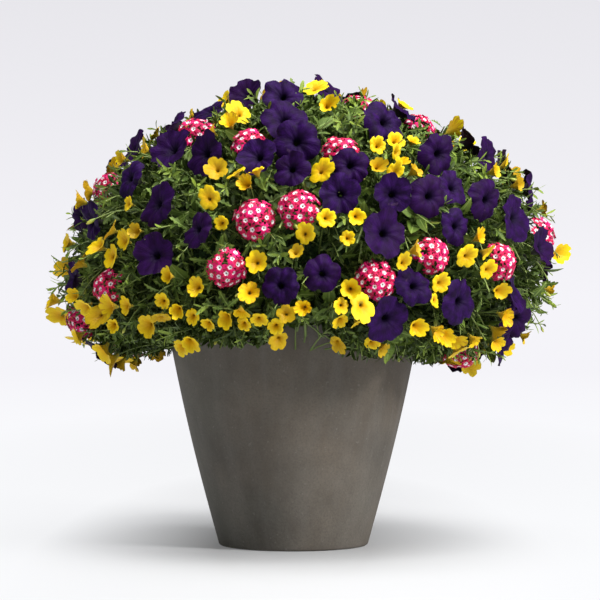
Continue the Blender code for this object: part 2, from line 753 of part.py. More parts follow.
def foot_on_core(cores, start, inward):
    """Where a stem from the start meets the core, and the face's outward normal there."""
    best = None
    for tree in cores:
        place, normal, _, far = tree.ray_cast(start, inward, 0.14)
        if place is not None and (best is None or far < best[2]):
            best = (place, normal if normal.dot(inward) < 0 else -normal, far)
    return best


def fork_path(neck, fork, forked):
    """The fork, as two points a short way apart where other stems can join."""
    if not forked:
        return [fork]
    half = (neck - fork).normalized() * (FORK_LENGTH / 2)
    return [fork + half, fork - half]


def ways(neck, fork, start, direction, forked):
    """Paths from a bloom's neck to the start of its stem, plain ones first."""
    out = Vector(direction)
    if not forked:
        yield []
    for pull in (0.0, 0.4, 0.7):
        joint = fork.lerp((neck + start) / 2, pull)
        near = fork_path(neck, joint, forked)
        across = (start - joint).cross(out).normalized()
        middle = (joint + start) / 2
        yield near
        for reach in (0.005, 0.010, 0.016, 0.023):
            for slide, dip in ((1, 0), (-1, 0), (0, -1), (0, 0.6), (1, -0.7), (-1, -0.7)):
                bend = middle + across * slide * reach + out * dip * reach
                if not forked:
                    yield [bend]
                yield near + [bend]


def root_ways(cores, neck, fork, direction, forked):
    """Paths from a root bloom straight or slanting down to the core."""
    out = Vector(direction)
    first = out.cross(Vector((0.2, 0.1, 1.0))).normalized()
    second = out.cross(first)
    near = fork_path(neck, fork, forked) if forked else []
    start = fork if forked else neck
    for lean in (0.0, 0.2, 0.4, 0.65, 0.9, 1.4, 2.4):
        for turn in range(1 if lean == 0.0 else 8):
            around = turn * math.pi / 4
            aim = -out + (first * math.cos(around) + second * math.sin(around)) * lean
            found = foot_on_core(cores, start, aim.normalized())
            if found:
                place, normal, _ = found
                yield near + [place + normal * STEM_GAP], normal


def branching(points, rank):
    """Each point's parent on a short tree with few forks, from the point of lowest rank."""
    root = int(np.argmin(rank))
    gaps = lengths(points[:, None] - points[None])[:, :, 0]
    parent, carried = {root: None}, {root: 1}
    while len(parent) < len(points):
        best = None
        for i in range(len(points)):
            if i in parent:
                continue
            for j in parent:
                new_fork = 0.026 if carried[j] == 0 else 0.0
                crowded = 1.0 if carried[j] > 3 else 0.0
                cost = gaps[i, j] + new_fork + crowded
                if best is None or cost < best[0]:
                    best = (cost, i, j)
        _, i, j = best
        parent[i] = j
        carried[j] += 1
        carried[i] = 0
    return parent


def branch_options(growth, open_faces, neck, fork, direction, forked):
    """Ways for a branch to grow from one of the faces, short paths first."""
    scored = []
    for face in open_faces:
        corners = growth.corners(face)
        line = (fork - middle_of(corners)).normalized()
        scored.append((-facing_out(corners).dot(line), face))
    scored.sort()
    options = []
    for facing, face in scored[:4]:
        corners = growth.corners(face)
        start = middle_of(corners)
        knee = start + facing_out(corners) * KNEE_LENGTH
        for path in ways(neck, fork, start, direction, forked):
            if facing < -0.5:
                options.append((path, None, face))
            options.append((path + [knee], None, face))
    return sorted(options, key=lambda option: len(option[0]))


def build_spray(kind, taken, cores, blooms):
    """One branching stem with its blooms, as one closed mesh."""
    directions, centres, axes, radii, spins = blooms
    forks = centres - directions * FORK_DEPTH[kind]
    rank = lengths(centres - centres.mean(axis=0))[:, 0]
    rank = rank - 0.6 * np.minimum(directions[:, 2] + 0.05, 0.15)
    parents = branching(forks, rank)
    growth, fork_faces, beside = Growth(), {}, {}
    for here, parent in parents.items():
        forked = here in parents.values()
        bloom = (kind, Vector(centres[here]), Vector(axes[here]), spins[here], radii[here])
        fork = Vector(forks[here])
        neck = FUNNELS[kind](*bloom[1:], 0.0)[0]
        near = sorted(fork_faces, key=lambda other: (fork - Vector(forks[other])).length)
        hosts = [parent] + [other for other in near if other != parent][:4]
        best, clear = None, False
        for host in hosts:
            if host is None:
                options = []
                for path, flat in root_ways(cores, neck, fork, directions[here], forked):
                    options.append((path, flat, None))
            else:
                open_faces = [f for f in fork_faces[host] if growth.faces[f] is not None]
                options = branch_options(growth, open_faces, neck, fork, directions[here], forked)
            for path, flat, root_face in options:
                root = None if root_face is None else growth.corners(root_face)
                exact = funnel(*bloom, path, root, flat)
                if crosses_itself(exact[0]):
                    continue
                grown = funnel(*bloom, path, root, flat, MARGIN)[0]
                if root is None:
                    clear = not taken.meets(grown)
                else:
                    clear = taken.clear_for(exact[0], grown, beside[host])
                if best is None or clear:
                    best = exact, root_face, len(path), host
                if clear:
                    break
            if clear:
                break
        (shape, root), root_face, count, host = best
        first = growth.add(shape, root, root_face)
        if forked:
            first += 6 * (count - 2 + (root is not None))
            fork_faces[here] = list(range(first, first + 6))
            beside[here] = []
        if host is None:
            taken.add(shape)
        else:
            beside[host].append(taken.add_branch(shape))
    return growth.shape()


def build_blooms(taken, cores):
    kinds, directions, centres, axes, radii, spins = place_blooms()
    shapes = {}
    for kind in KINDS:
        members = np.nonzero(kinds == kind)[0]
        group = grouped(centres[members], GROUPS[kind])
        for g in range(GROUPS[kind]):
            node = f"{kind}_{g + 1:02d}"
            chosen = members[group == g]
            blooms = [table[chosen] for table in (directions, centres, axes, radii, spins)]
            if kind != "verbena":
                shapes[node] = build_spray(kind, taken, cores, blooms)
                continue
            shapes[node] = build_head(taken, cores, blooms)
            taken.add(shapes[node])
    return shapes, centres, radii


def build_head(taken, cores, blooms):
    """One head of florets on a stem of its own."""
    directions, centres, axes, radii, spins = [table[0] for table in blooms]
    centre, axis = Vector(centres), Vector(axes)
    neck = centre - axis * 0.017
    out = Vector(directions)
    best = None
    bends = [Vector()] + [sideways(out, k * 0.8) * reach for reach in (0.006, 0.012) for k in range(8)]
    for bend in bends:
        middle = [neck - out * 0.014 + bend] if bend.length > 0 else []
        start = middle[0] if middle else neck
        for path, flat in root_ways(cores, start, start, directions, False):
            args = (centre, axis, spins, radii, middle + path, flat)
            clear = not taken.meets(floret_dome(*args, grow=MARGIN))
            if best is None or clear:
                best = floret_dome(*args)
            if clear:
                return best
    return best


def build_shoot(taken, core, core_number, direction, droop, rng):
    """A leafy shoot from inside the core, as one closed mesh, or None if it has no room."""
    out = Vector(direction)
    far = Vector(on_surface(direction[None], 0.01)[0])
    place, normal, _, _ = core.ray_cast(far, -out, 0.2)
    if place is None:
        return None
    across = out.cross(Vector((0, 0, 1))).normalized()
    over = Vector(on_surface(direction[None], rng.uniform(-0.008, 0.002))[0])
    for _ in range(12):
        shift = across * rng.uniform(-0.014, 0.014) + out.cross(across) * rng.uniform(-0.014, 0.014)
        end = over + shift + Vector((0, 0, -droop))
        start = place - out * 0.005
        line = end - start
        joints = [start]
        for share in (0.45, 0.74):
            at = start + line * share + Vector((0, 0, droop * 1.6 * share * (1 - share)))
            joints += [at, at + line.normalized() * FORK_LENGTH]
        heading = (end - joints[-1]).normalized()
        side = sideways(heading, rng.uniform(0, 2 * math.pi))
        widths = [0.0022, 0.0021, 0.0021, 0.0018, 0.0018]
        for grow in (MARGIN, 0.0):
            rings = []
            for i, joint in enumerate(joints):
                after = joints[min(i + 1, len(joints) - 1)]
                before = joints[max(i - 1, 0)]
                rings.append(ring(joint, (after - before).normalized(), side, widths[i] + grow, 3))
            length = 0.036
            wide = 0.014 + grow * 2
            blade, tip = blade_ring(joints[-1], heading, side, length + grow, wide, 0.0017 + grow)
            order = lined_up([(0, c) for c in rings[-1]], blade)
            turn = [c for _, c in order]
            shift_by = rings[-1].index(turn[0])
            rings = [one[shift_by:] + one[:shift_by] for one in rings]
            stem = skin(rings + [blade], tip)
            if grow and taken.meets(stem, (core_number,)):
                break
        else:
            break
    else:
        return None
    growth = Growth()
    growth.add(stem)
    taken.add(stem)
    for low in (1, 3):
        beside = []
        extra = int(rng.integers(0, 3))
        for around in (0, 1, 2, extra):
            pair = (6 * low + 2 * around, 6 * low + 2 * around + 1)
            open_pair = [f for f in pair if growth.faces[f] is not None]
            root_face = open_pair[int(rng.integers(0, len(open_pair)))]
            corners = growth.corners(root_face)
            away = facing_out(corners)
            up = (joints[low + 1] - joints[low]).normalized()
            root_middle = middle_of(corners)
            full = rng.uniform(0.036, 0.048)
            for tilt, turn, share in LEAF_TRIES:
                aim = (away + up * tilt + up.cross(away) * turn).normalized()
                flat = aim.cross(up).normalized()
                long = full * share
                leaves = []
                for grow in (MARGIN, 0.0):
                    wide = long * 0.37 + grow * 2
                    blade, tip = blade_ring(
                        root_middle, aim, flat, long + grow, wide, 0.0017 + grow
                    )
                    root = lined_up(corners, blade)
                    leaves.append(skin([[c for _, c in root], blade], tip))
                if not crosses_itself(leaves[1]) and taken.clear_for(leaves[1], leaves[0], beside):
                    growth.add(leaves[1], root, root_face)
                    beside.append(taken.add_branch(leaves[1]))
                    break
    return growth.shape()


def shoot_directions(sector, count, low, high, blooms, radii, rng, others):
    """Directions of leafy shoots in one sector, away from the blooms and from each other."""
    chosen = []
    for _ in range(count):
        turns = 2 * math.pi * (sector + rng.uniform(0.02, 0.98, 60)) / SECTORS
        sines = rng.uniform(math.sin(math.radians(low)), math.sin(math.radians(high)), 60)
        flat = np.sqrt(1 - sines**2)
        tries = np.column_stack((np.cos(turns) * flat, np.sin(turns) * flat, sines))
        places = on_surface(tries)
        room = (lengths(places[:, None] - blooms[None])[:, :, 0] - radii).min(axis=1)
        if others:
            shared = lengths(places[:, None] - np.array(others)[None])[:, :, 0].min(axis=1)
            room = np.minimum(room, 0.42 * shared)
        best = int(np.argmax(room))
        chosen.append(tries[best])
        others.append(places[best])
    return chosen


def build_shoots(taken, cores, core_numbers, blooms, radii):
    """Leafy shoots for each sector: lists of closed shapes that start inside its core."""
    rng = np.random.default_rng(7)
    others, made = [], []
    for sector in range(SECTORS):
        upper = shoot_directions(sector, SHOOTS_PER_SECTOR, 2, 84, blooms, radii, rng, others)
        lower = shoot_directions(sector, TRAILING_PER_SECTOR, -5, 1, blooms, radii, rng, others)
        shapes = []
        for place, direction in enumerate(upper + lower):
            droop = rng.uniform(0.018, 0.040) if place >= len(upper) else 0.0
            args = (cores[sector], core_numbers[sector], direction, droop, rng)
            shape = build_shoot(taken, *args)
            if shape is not None:
                shapes.append(shape)
        made.append(shapes)
    return made


def main():
    for obj in list(bpy.data.objects):
        bpy.data.objects.remove(obj)
    taken = Taken()
    taken.add(shape_of(build_pot()))
    taken.add(shape_of(build_soil()))
    core_shapes = [core_shape(i) for i in range(SECTORS)]
    cores = [tree_of(shape) for shape in core_shapes]
    core_numbers = [taken.add(shape) for shape in core_shapes]
    blooms, centres, radii = build_blooms(taken, cores)
    shoots = build_shoots(taken, cores, core_numbers, centres, radii)
    colours = {
        "petunia": ("petunia_purple", (0.045, 0.012, 0.16), 0.5),
        "verbena": ("verbena_crimson", (0.62, 0.025, 0.12), 0.55),
        "calibrachoa": ("calibrachoa_yellow", (0.90, 0.62, 0.02), 0.5),
    }
    for node, shape in blooms.items():
        coloured(mesh_object(node, *shape), *colours[node.split("_")[0]])
    rng = np.random.default_rng(19)
    for i, shape in enumerate(core_shapes):
        core = with_tufts(shape, core_numbers[i], taken, rng)
        obj = union_of(f"foliage_{i + 1}", [core, crown_stem(i)] + shoots[i])
        coloured(obj, "leaf_green", (0.075, 0.16, 0.035), 0.6)


main()
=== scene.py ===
import math

import bmesh
import bpy
import numpy as np
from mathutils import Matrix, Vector


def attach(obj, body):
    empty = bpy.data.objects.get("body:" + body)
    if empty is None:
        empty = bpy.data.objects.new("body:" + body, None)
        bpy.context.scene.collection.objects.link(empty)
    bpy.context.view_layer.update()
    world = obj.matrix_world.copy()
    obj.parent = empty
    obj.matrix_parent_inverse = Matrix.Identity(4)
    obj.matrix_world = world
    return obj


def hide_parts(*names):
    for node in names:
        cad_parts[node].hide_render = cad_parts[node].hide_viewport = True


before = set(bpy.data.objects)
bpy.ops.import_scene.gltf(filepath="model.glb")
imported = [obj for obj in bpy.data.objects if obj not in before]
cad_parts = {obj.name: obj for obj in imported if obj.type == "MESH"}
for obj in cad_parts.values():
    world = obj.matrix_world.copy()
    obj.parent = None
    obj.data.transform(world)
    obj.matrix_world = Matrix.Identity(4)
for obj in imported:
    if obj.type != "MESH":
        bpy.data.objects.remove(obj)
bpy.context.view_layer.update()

# A standing patio pot with a mound of flowers: its looks, in metres, with the front towards -Y.
# The pot, the soil and the places of the blooms repeat the values that the solids are made from.

# Pot and soil
POT_HEIGHT = 0.281
POT_BASE_RADIUS = 0.089
POT_RIM_RADIUS = 0.155
POT_SWELL = 0.0037
POT_WALL = 0.009
POT_FLOOR = 0.010
SOIL_TOP = 0.258
FIT_GAP = 0.0003

# Mound: distance from its centre to the tips, for each height angle in degrees
CENTRE = np.array((0.0, 0.0, 0.285))
EYE = np.array((0.0078, -3.0, 0.293))
LEVELS = (-30, -22, -15, -8, 0, 12, 25, 38, 50, 60, 75, 90)
RIGHT_MM = (160, 190, 236, 272, 298, 316, 318, 292, 276, 268, 262, 252)
LEFT_MM = (160, 193, 238, 266, 288, 281, 284, 274, 264, 256, 254, 252)
MIDDLE_MM = (158, 188, 232, 264, 290, 296, 300, 282, 270, 264, 258, 252)

# Blooms seen from the front: right of the middle and above the ground, in centimetres
PETUNIAS_SEEN = (
    (-10.7, 53.0), (-6.7, 53.5), (-1.3, 53.3), (5.6, 54.2), (11.0, 50.4), (-19.5, 48.6),
    (-14.6, 47.4), (-9.8, 46.8), (-15.4, 50.2), (-1.4, 50.4), (-3.1, 47.4), (0.3, 47.6),
    (1.0, 45.1), (7.1, 45.1), (6.2, 42.5), (17.0, 46.8), (21.1, 48.4), (23.3, 46.4),
    (18.9, 42.8), (16.1, 41.5), (13.1, 40.4), (10.9, 38.0), (23.3, 41.3), (26.9, 39.1),
    (29.7, 43.1), (18.3, 37.3), (-24.7, 38.9), (-27.2, 39.8), (-17.1, 40.4), (-19.6, 43.7),
    (-11.7, 37.8), (-16.9, 34.7), (-26.8, 31.8), (-2.2, 31.2), (3.8, 32.3), (14.5, 30.8),
    (11.2, 28.6), (20.3, 29.0), (26.9, 29.8), (30.3, 35.9), (27.2, 27.0),
)
VERBENAS_SEEN = (
    (-12.5, 50.2), (-23.6, 43.1), (-5.8, 48.4), (3.7, 47.5), (7.9, 55.4), (15.4, 52.2),
    (-4.6, 40.4), (-0.3, 40.4), (-22.6, 31.7), (-8.5, 32.6), (10.5, 32.3), (17.8, 35.0),
    (24.9, 32.6),
)
CALIBRACHOAS_SEEN = (
    (-9.8, 49.3), (-7.1, 49.8), (-6.5, 51.4), (-17.8, 47.4), (-16.6, 49.1), (-20.2, 46.0),
    (-19.4, 40.6), (-10.1, 41.5), (-18.7, 37.9), (-21.5, 37.4), (-20.6, 36.4), (-22.7, 35.2),
    (-22.6, 34.0), (-25.3, 33.6), (-7.6, 38.8), (-8.7, 45.1), (-7.1, 45.1), (-4.5, 44.8),
    (-5.3, 42.7), (4.1, 52.4), (9.9, 47.5), (12.3, 47.0), (12.7, 45.5), (11.5, 44.5),
    (14.2, 44.3), (14.6, 48.0), (12.1, 48.2), (9.3, 45.1), (3.1, 44.2), (7.5, 40.4),
    (1.3, 37.7), (6.4, 36.6), (3.7, 39.4), (0.3, 35.0), (26.0, 46.0), (23.8, 44.6),
    (26.6, 43.0), (-14.9, 32.3), (-11.0, 31.1), (-15.7, 29.2), (-20.2, 28.6), (-21.9, 29.2),
    (-23.6, 27.7), (-24.8, 28.4), (-26.1, 29.8), (-29.2, 28.4), (-28.0, 27.4), (-27.2, 25.0),
    (-25.5, 25.0), (-21.3, 26.3), (-16.0, 26.9), (-17.1, 26.4), (-13.4, 28.0), (-12.2, 27.4),
    (-10.1, 26.5), (-7.0, 27.5), (-12.4, 24.2), (-13.3, 23.6), (-22.0, 22.4), (-22.6, 23.3),
    (-18.1, 21.4), (-3.8, 33.0), (-5.5, 29.6), (-6.7, 27.7), (-6.1, 26.9), (-3.8, 26.8),
    (-2.3, 25.8), (-1.9, 25.0), (-0.7, 28.3), (0.9, 28.3), (5.8, 28.6), (8.7, 28.6),
    (8.5, 29.5), (5.5, 26.9), (8.3, 27.2), (5.3, 24.0), (10.6, 23.6), (10.0, 24.7),
    (13.6, 33.8), (14.5, 34.7), (16.6, 32.2), (17.0, 30.2), (20.8, 34.7), (23.0, 35.0),
    (23.7, 34.2), (22.3, 35.9), (24.9, 31.2), (13.4, 26.4), (17.0, 25.6), (18.2, 25.0),
    (19.1, 24.6), (19.4, 23.3), (18.7, 21.8), (21.3, 24.6), (24.2, 24.2), (24.2, 25.9),
    (25.0, 27.4),
)

# Kinds of bloom: how many in all, how many branching stems share them, and their sizes
KINDS = ("petunia", "verbena", "calibrachoa")
SEEN = {"petunia": PETUNIAS_SEEN, "verbena": VERBENAS_SEEN, "calibrachoa": CALIBRACHOAS_SEEN}
COUNTS = {"petunia": 82, "verbena": 24, "calibrachoa": 196}
GROUPS = {"petunia": 13, "verbena": 24, "calibrachoa": 15}
RADII = {"petunia": (0.0210, 0.0275), "verbena": (0.0232, 0.0258), "calibrachoa": (0.0082, 0.0138)}
# How far the small blooms outnumber the large ones: 1 would be evenly
SMALL_SKEW = 1.6
LIFTS = {"petunia": -0.004, "verbena": -0.006, "calibrachoa": 0.001}
# Blooms on top face outwards: the share of its height angle that each face keeps, how far
# a leaning bloom stands out as a share of its radius, and how uneven their leans are
LEANS = {"petunia": 0.48, "verbena": 0.8, "calibrachoa": 0.6}
LEAN_LIFT = 0.5
LEAN_SPREAD = 0.16

# Where the random draws start, and how many sectors of foliage there are
LAYOUT_SEED = 59
BLOOM_SEEDS = {"petunia": 100, "verbena": 200, "calibrachoa": 300}
FOLIAGE_SEED = 7
SOIL_SEED = 3
SECTORS = 6

# Layout: how the mound waves, how hidden blooms are chosen, and how all of them move apart
MOUND_WAVES_MM = ((4.0, 3, 0.7), (3.0, 5, 2.0))
# Distances from the camera at which a line of sight is tested for the mound
RAY_REACH = (2.55, 3.12)
RAY_STEPS = 229
# How low the blooms hang, in degrees, and how much higher those at the front are
LOWEST_LEVEL = -18.0
FRONT_RISE = 8.0
FRONT_WIDTH = 0.55
TRIES = 400
TRIES_KEPT = 14
HIDDEN_FACING = 0.14
SHOULDER_LEVEL = 12
# Which share of the tries is kept below and above the mound's shoulder
HIDDEN_SHARES = {"petunia": (0.7, 1.0), "verbena": (0.9, 1.0), "calibrachoa": (1.0, 0.8)}
UNEVEN_LIFT = (-0.002, 0.003)
BLOOM_GAP = 0.0016
SPREAD_ROUNDS = 160
PUSH = 0.35
PULL_BACK = 0.03
GROUP_ROUNDS = 14

# Blooms: how far the foot of each is below its face, and the stem that thickens from there
NECK_DEPTH = {"petunia": 0.024, "verbena": 0.014, "calibrachoa": 0.0098}
STEM_RADIUS = {"petunia": 0.0013, "verbena": 0.0013, "calibrachoa": 0.0007}
STEM_SPREAD = 1.3
STEM_SIDES = 4
THROAT_DEPTH = {"petunia": 0.022, "verbena": 0.016, "calibrachoa": 0.008}
PETAL_THICKNESS = 0.0003
LOBES = 5

# Petunias and calibrachoas: rings of points over a face, as shares of its radius, and the height
# of the face and of the tube behind it at such shares, in millimetres
PETUNIA_COLUMNS = 45
CALIBRACHOA_COLUMNS = 30
RINGS = {
    "petunia": (0.05, 0.10, 0.16, 0.24, 0.36, 0.50, 0.64, 0.77, 0.88, 0.95, 1.0),
    "calibrachoa": (0.07, 0.14, 0.24, 0.42, 0.64, 0.84, 0.94, 1.0),
}
BACK_RINGS = {
    "petunia": (1.0, 0.90, 0.72, 0.50, 0.32, 0.20, 0.13, 0.10),
    "calibrachoa": (1.0, 0.55, 0.22, 0.12),
}
FUNNELS = {
    "petunia": ((0.05, -18), (0.10, -11), (0.16, -6.4), (0.24, -4.2), (0.40, -2.4), (0.70, -0.8), (1, 0)),
    "calibrachoa": ((0.07, -8.5), (0.14, -5.0), (0.24, -2.9), (0.42, -1.2), (0.64, -0.2), (1, 0)),
}
TUBES = {
    "petunia": ((0.10, -24), (0.13, -17), (0.20, -11), (0.32, -7.0), (0.50, -3.6), (1, 0)),
    "calibrachoa": ((0.12, -9.8), (0.22, -5.2), (0.55, 0), (1, 0)),
}
# Where the back leaves the tube and where it reaches the petals
TUBE_ENDS = {"petunia": (0.32, 0.62), "calibrachoa": (0.30, 0.55)}
# Sepals: how far below the face they grow, their width and their length
SEPALS = {"petunia": (0.0232, 0.0034, 0.0125), "calibrachoa": (0.0096, 0.0018, 0.0058)}

# Verbenas: each tier's angle from the head's axis and its number of florets, and the share
# of them that is kept beyond one angle
FLORET_TIERS = ((0.0, 1), (0.46, 5), (0.90, 8), (1.34, 10))
LOWEST_TIER = 1.2
LOWEST_KEPT = 0.8
FLORET_RADIUS = (0.0068, 0.0080)
FLORET_RINGS = (0.10, 0.36, 0.68, 1.0)
FLORET_RISE = (-0.0012, 0.0, 0.0004, 0.0)
FLORET_STEM = (0.0011, 0.0007)
# A head's dome of florets: how deep its middle lies and its radius, as shares of the head's
DOME_DEPTH = 0.60
DOME_RADIUS = 0.88
UNEVEN_DOME = (-0.0012, 0.0020)
# Angle and reach of a floret's rim across one petal, with the notch at its middle
FLORET_PETAL = ((-0.57, 0.50), (-0.36, 0.97), (0.0, 0.80), (0.36, 1.0), (0.57, 0.52))

# Leaves: the half width of each shape along its length, as shares
NARROW_LEAF = ((0.0, 0.25), (0.30, 0.85), (0.62, 1.0), (0.86, 0.62), (1.0, 0.0))
BROAD_LEAF = ((0.0, 0.10), (0.12, 0.35), (0.32, 0.92), (0.52, 1.0), (0.74, 0.74), (0.90, 0.36), (1.0, 0.0))
TOOTHED_LEAF = (
    (0.0, 0.08), (0.20, 0.16), (0.30, 0.72), (0.38, 0.30), (0.50, 1.0),
    (0.58, 0.36), (0.72, 0.80), (0.79, 0.28), (0.88, 0.42), (1.0, 0.0),
)
SEPAL = ((0.0, 0.6), (0.40, 1.0), (0.78, 0.6), (1.0, 0.0))
LEAF_FOLD = 0.3
# Sprigs: how many leaves each has and from which share of it, their length and width, how their
# size tapers along the sprig, how uneven it is, and the radii of the stem
NARROW = {
    "shape": NARROW_LEAF, "leaves": 13, "first": 0.22, "long": 0.0185, "wide": 0.0048,
    "taper": ((0.2, 0.5, 0.85, 1.0), (0.8, 1.0, 0.8, 0.42)), "uneven": (0.75, 1.2),
    "droop": (-0.1, 0.35), "stem": (0.0011, 0.0006),
}
TOOTHED = {
    "shape": TOOTHED_LEAF, "leaves": 8, "first": 0.30, "long": 0.029, "wide": 0.0135,
    "taper": ((0.3, 0.8, 1.0), (1.0, 0.9, 0.5)), "uneven": (0.8, 1.2),
    "droop": (0.0, 0.4), "stem": (0.0014, 0.0008), "ahead": 0.55,
}
BROAD = {
    "shape": BROAD_LEAF, "leaves": 4, "first": 0.45, "long": 0.034, "wide": 0.017,
    "taper": ((0.45, 1.0), (1.0, 0.65)), "uneven": (0.75, 1.15),
    "droop": (0.05, 0.45), "stem": (0.0018, 0.0012), "ahead": 0.7,
}
# How the bows of sprigs lean and arch: upwards, outwards, and how deep they start in the mound
UPWARD_LEAN = np.array((0, 0, 0.10))
SPRIG_ARCH = np.array((0, 0, 0.012))
SPRIG_BULGE = 0.010
ROOT_DEPTH = (0.75, 1.0)
TIP_SCATTER = 0.005
EDGE_SCATTER = (0.002, 0.02)
# Trails: how many, between which levels, how wide a gap the front shows, where they start from
# the pot's axis and above the ground, how far out they bow and how far they must fall
TRAILS = 190
TRAIL_LEVELS = (-29, -14)
TRAIL_FRONT_WIDTH = 0.35
TRAIL_START = (POT_RIM_RADIUS + 0.006, POT_HEIGHT - 0.004)
TRAIL_BULGE = 0.022
LEAST_FALL = 0.004
# Hull: a sheet of painted shade that stands for the dark inside of the mound
HULL_DEPTH = 0.072
HULL_LUMP = 0.004
HULL_COLUMNS = 25
HULL_ROWS = 34
HULL_LOWEST = -3
SHORTEST_SPRIG = 0.012
# Leaves are pale near the tips down to a depth, partly as young growth and partly as painted light,
# and get painted shade below another depth; a sprig needs a share of its leaves to show its stem
LIT_DEPTH = 0.03
PALE_FROM = 0.68
PAINTED_SHADE_DEPTH = -0.020
LEAST_LEAVES = 0.45
# Room kept for the blooms: under and before each face, aside as a share of its radius,
# and how far sprigs that face its way end behind it
FACE_DEPTH = 0.0035
SIGHT_DEPTH = 0.030
LEAF_MARGIN = 1.03
THROAT_WIDTH = 0.45
TIP_MARGIN = 1.05
TIP_DEPTH = (0.010, 0.020)
LEAST_SLOPE = 0.35
# Room between the leaves and the pot's wall, and how far the hull stands over its rim
LEAF_CLEARANCE = 0.002
RIM_COVER = 0.002
# Buds: half their width along their length, as shares, and their sizes
BUD_SHAPE = ((0.0, 0.25), (0.25, 0.75), (0.55, 1.0), (0.85, 0.7), (1.0, 0.1))
BUD_SIDES = 6
BUD_LENGTH = (0.007, 0.013)
BUD_WIDTH = 0.20
BUD_STEM = (0.0007, 0.0006)
# Height of the greenery's lower edge round the pot, at angles in degrees; the front is -90
EDGE_TURNS = (
    -180, -165, -150, -133, -110, -100, -93, -84, -77, -70,
    -62, -50, -38, 0, 60, 90, 120, 150, 180,
)
EDGE_HEIGHTS = (
    0.216, 0.222, 0.236, 0.243, 0.236, 0.240, 0.262, 0.266, 0.250, 0.226, 0.220, 0.225,
    0.218, 0.212, 0.222, 0.226, 0.240, 0.236, 0.216,
)

# Maps: every piece of the mound shares one plan of 4 by 4 square cells
UV_MAP = "OFBake"
MAP_CELLS = 4
CELL_INSET = 0.04
BACK_CELL, GREEN_CELL, BUD_CELL, HULL_CELL = 0, 1, 2, 3
FACE_CELLS = (4, 16)
# The first two dark leaf cells carry painted shade for deep leaves; the light cells are pale leaves, partly
# painted light
DARK_LEAVES, PALE_LIT_LEAVES, BROAD_CELLS = 4, (8, 12), (12, 16)

# Camera: its lens, and how much its view goes upwards at the top edge of the picture
LENS_MM = 150.0
SENSOR_MM = 36.0
PICTURE_TOP = 0.118

GOLDEN_ANGLE = math.pi * (3 - math.sqrt(5))

# Fine shape of the pot's wall and edges
POT_SIDES = 128
POT_FOOT = 0.004
POT_EDGE = 0.003
POT_WOBBLE = 0.00008

# Studio
FLOOR_RADIUS = 12.0
FLOOR_DROP = 0.0002
# How evenly the floor glows, from the pot outwards; the fade reaches less far sideways
FLOOR_FADE = ((0.09, 0.14), (0.31, 0.88), (0.90, 1.0))
FADE_STRETCH = (1.0, 0.22, 0.0)
FLOOR_COLOUR = (0.53, 0.535, 0.545)
AMBIENT = 0.19
AMBIENT_COLOUR = (0.95, 0.97, 1.0)
HORIZON = (0.913, 0.905, 0.947)
BACKDROP_TOP = (0.807, 0.799, 0.838)
FLOOR_NEAR = (0.965, 0.973, 0.991)
LIGHTS_AIM = (0.0, 0.0, 0.3)
# Each soft box's name, place, size, power and colour
SOFT_LIGHTS = (
    ("key", (0.65, -1.5, 3.2), 1.5, 80.0, (1.0, 0.99, 0.97)),
    ("side", (2.7, -1.9, 1.9), 0.8, 128.0, (1.0, 0.99, 0.98)),
    ("top", (0.15, -0.4, 3.2), 2.0, 66.0, (1.0, 1.0, 1.0)),
)


def lengths(vectors):
    """The length of each vector, kept as a column."""
    return np.linalg.norm(vectors, axis=-1, keepdims=True)


def unit(vectors):
    """The same vectors at length 1."""
    return vectors / lengths(vectors)


def level_of(directions):
    """Height angles of unit directions, in degrees."""
    return np.degrees(np.arcsin(np.clip(directions[:, 2], -1.0, 1.0)))


def turn_of(points):
    """Angles of points round the pot's axis."""
    return np.arctan2(points[..., 1], points[..., 0])


def round_axis(radius, turn, height):
    """Points at distances from the pot's axis, angles round it and heights."""
    return np.stack(np.broadcast_arrays(radius * np.cos(turn), radius * np.sin(turn), height), axis=-1)


def mound_radius(directions):
    """The mound's radius from its centre, along each direction."""
    level = level_of(directions)
    flat = np.hypot(directions[:, 0], directions[:, 1]) + 1e-9
    side = directions[:, 0] / flat
    turn = turn_of(directions)
    right = np.interp(level, LEVELS, RIGHT_MM)
    left = np.interp(level, LEVELS, LEFT_MM)
    middle = np.interp(level, LEVELS, MIDDLE_MM)
    radius = middle + (right - middle) * np.clip(side, 0, 1) ** 2
    radius += (left - middle) * np.clip(-side, 0, 1) ** 2
    waves = sum(height * np.sin(count * turn + start) for height, count, start in MOUND_WAVES_MM)
    radius += waves * np.cos(np.radians(level)) ** 2
    return radius / 1000


def on_surface(directions, lift=0.0):
    """Points of the mound's surface along unit directions from its centre."""
    radius = mound_radius(directions) + lift
    return CENTRE + directions * radius[:, None]


def normals_at(directions):
    """Outward normals of the mound's surface."""
    step = 1e-3
    here = on_surface(directions)
    across = unit(np.cross(directions, (0.12, 0.03, 1.0)))
    along = np.cross(directions, across)
    first = on_surface(unit(directions + across * step)) - here
    second = on_surface(unit(directions + along * step)) - here
    normal = unit(np.cross(first, second))
    facing = np.sign((normal * directions).sum(axis=1, keepdims=True))
    return unit(normal * facing + 0.5 * directions)


def seen_direction(x, z):
    """The direction, from the mound's centre, of what the front view shows at x and z."""
    ray = np.array((x, 0.0, z)) - EYE
    ray = ray / np.linalg.norm(ray)
    points = EYE + ray * np.linspace(*RAY_REACH, RAY_STEPS)[:, None]
    outwards = points - CENTRE
    directions = unit(outwards)
    clear = lengths(outwards)[:, 0] - mound_radius(directions)
    inside = clear < 0
    place = int(np.argmax(inside)) if inside.any() else int(np.argmin(clear))
    return directions[place]


def lowest_level(directions):
    """How low the blooms hang: higher at the front, where the pot shows."""
    turn = turn_of(directions)
    front = np.exp(-(((turn + math.pi / 2) / FRONT_WIDTH) ** 2))
    return LOWEST_LEVEL + FRONT_RISE * front


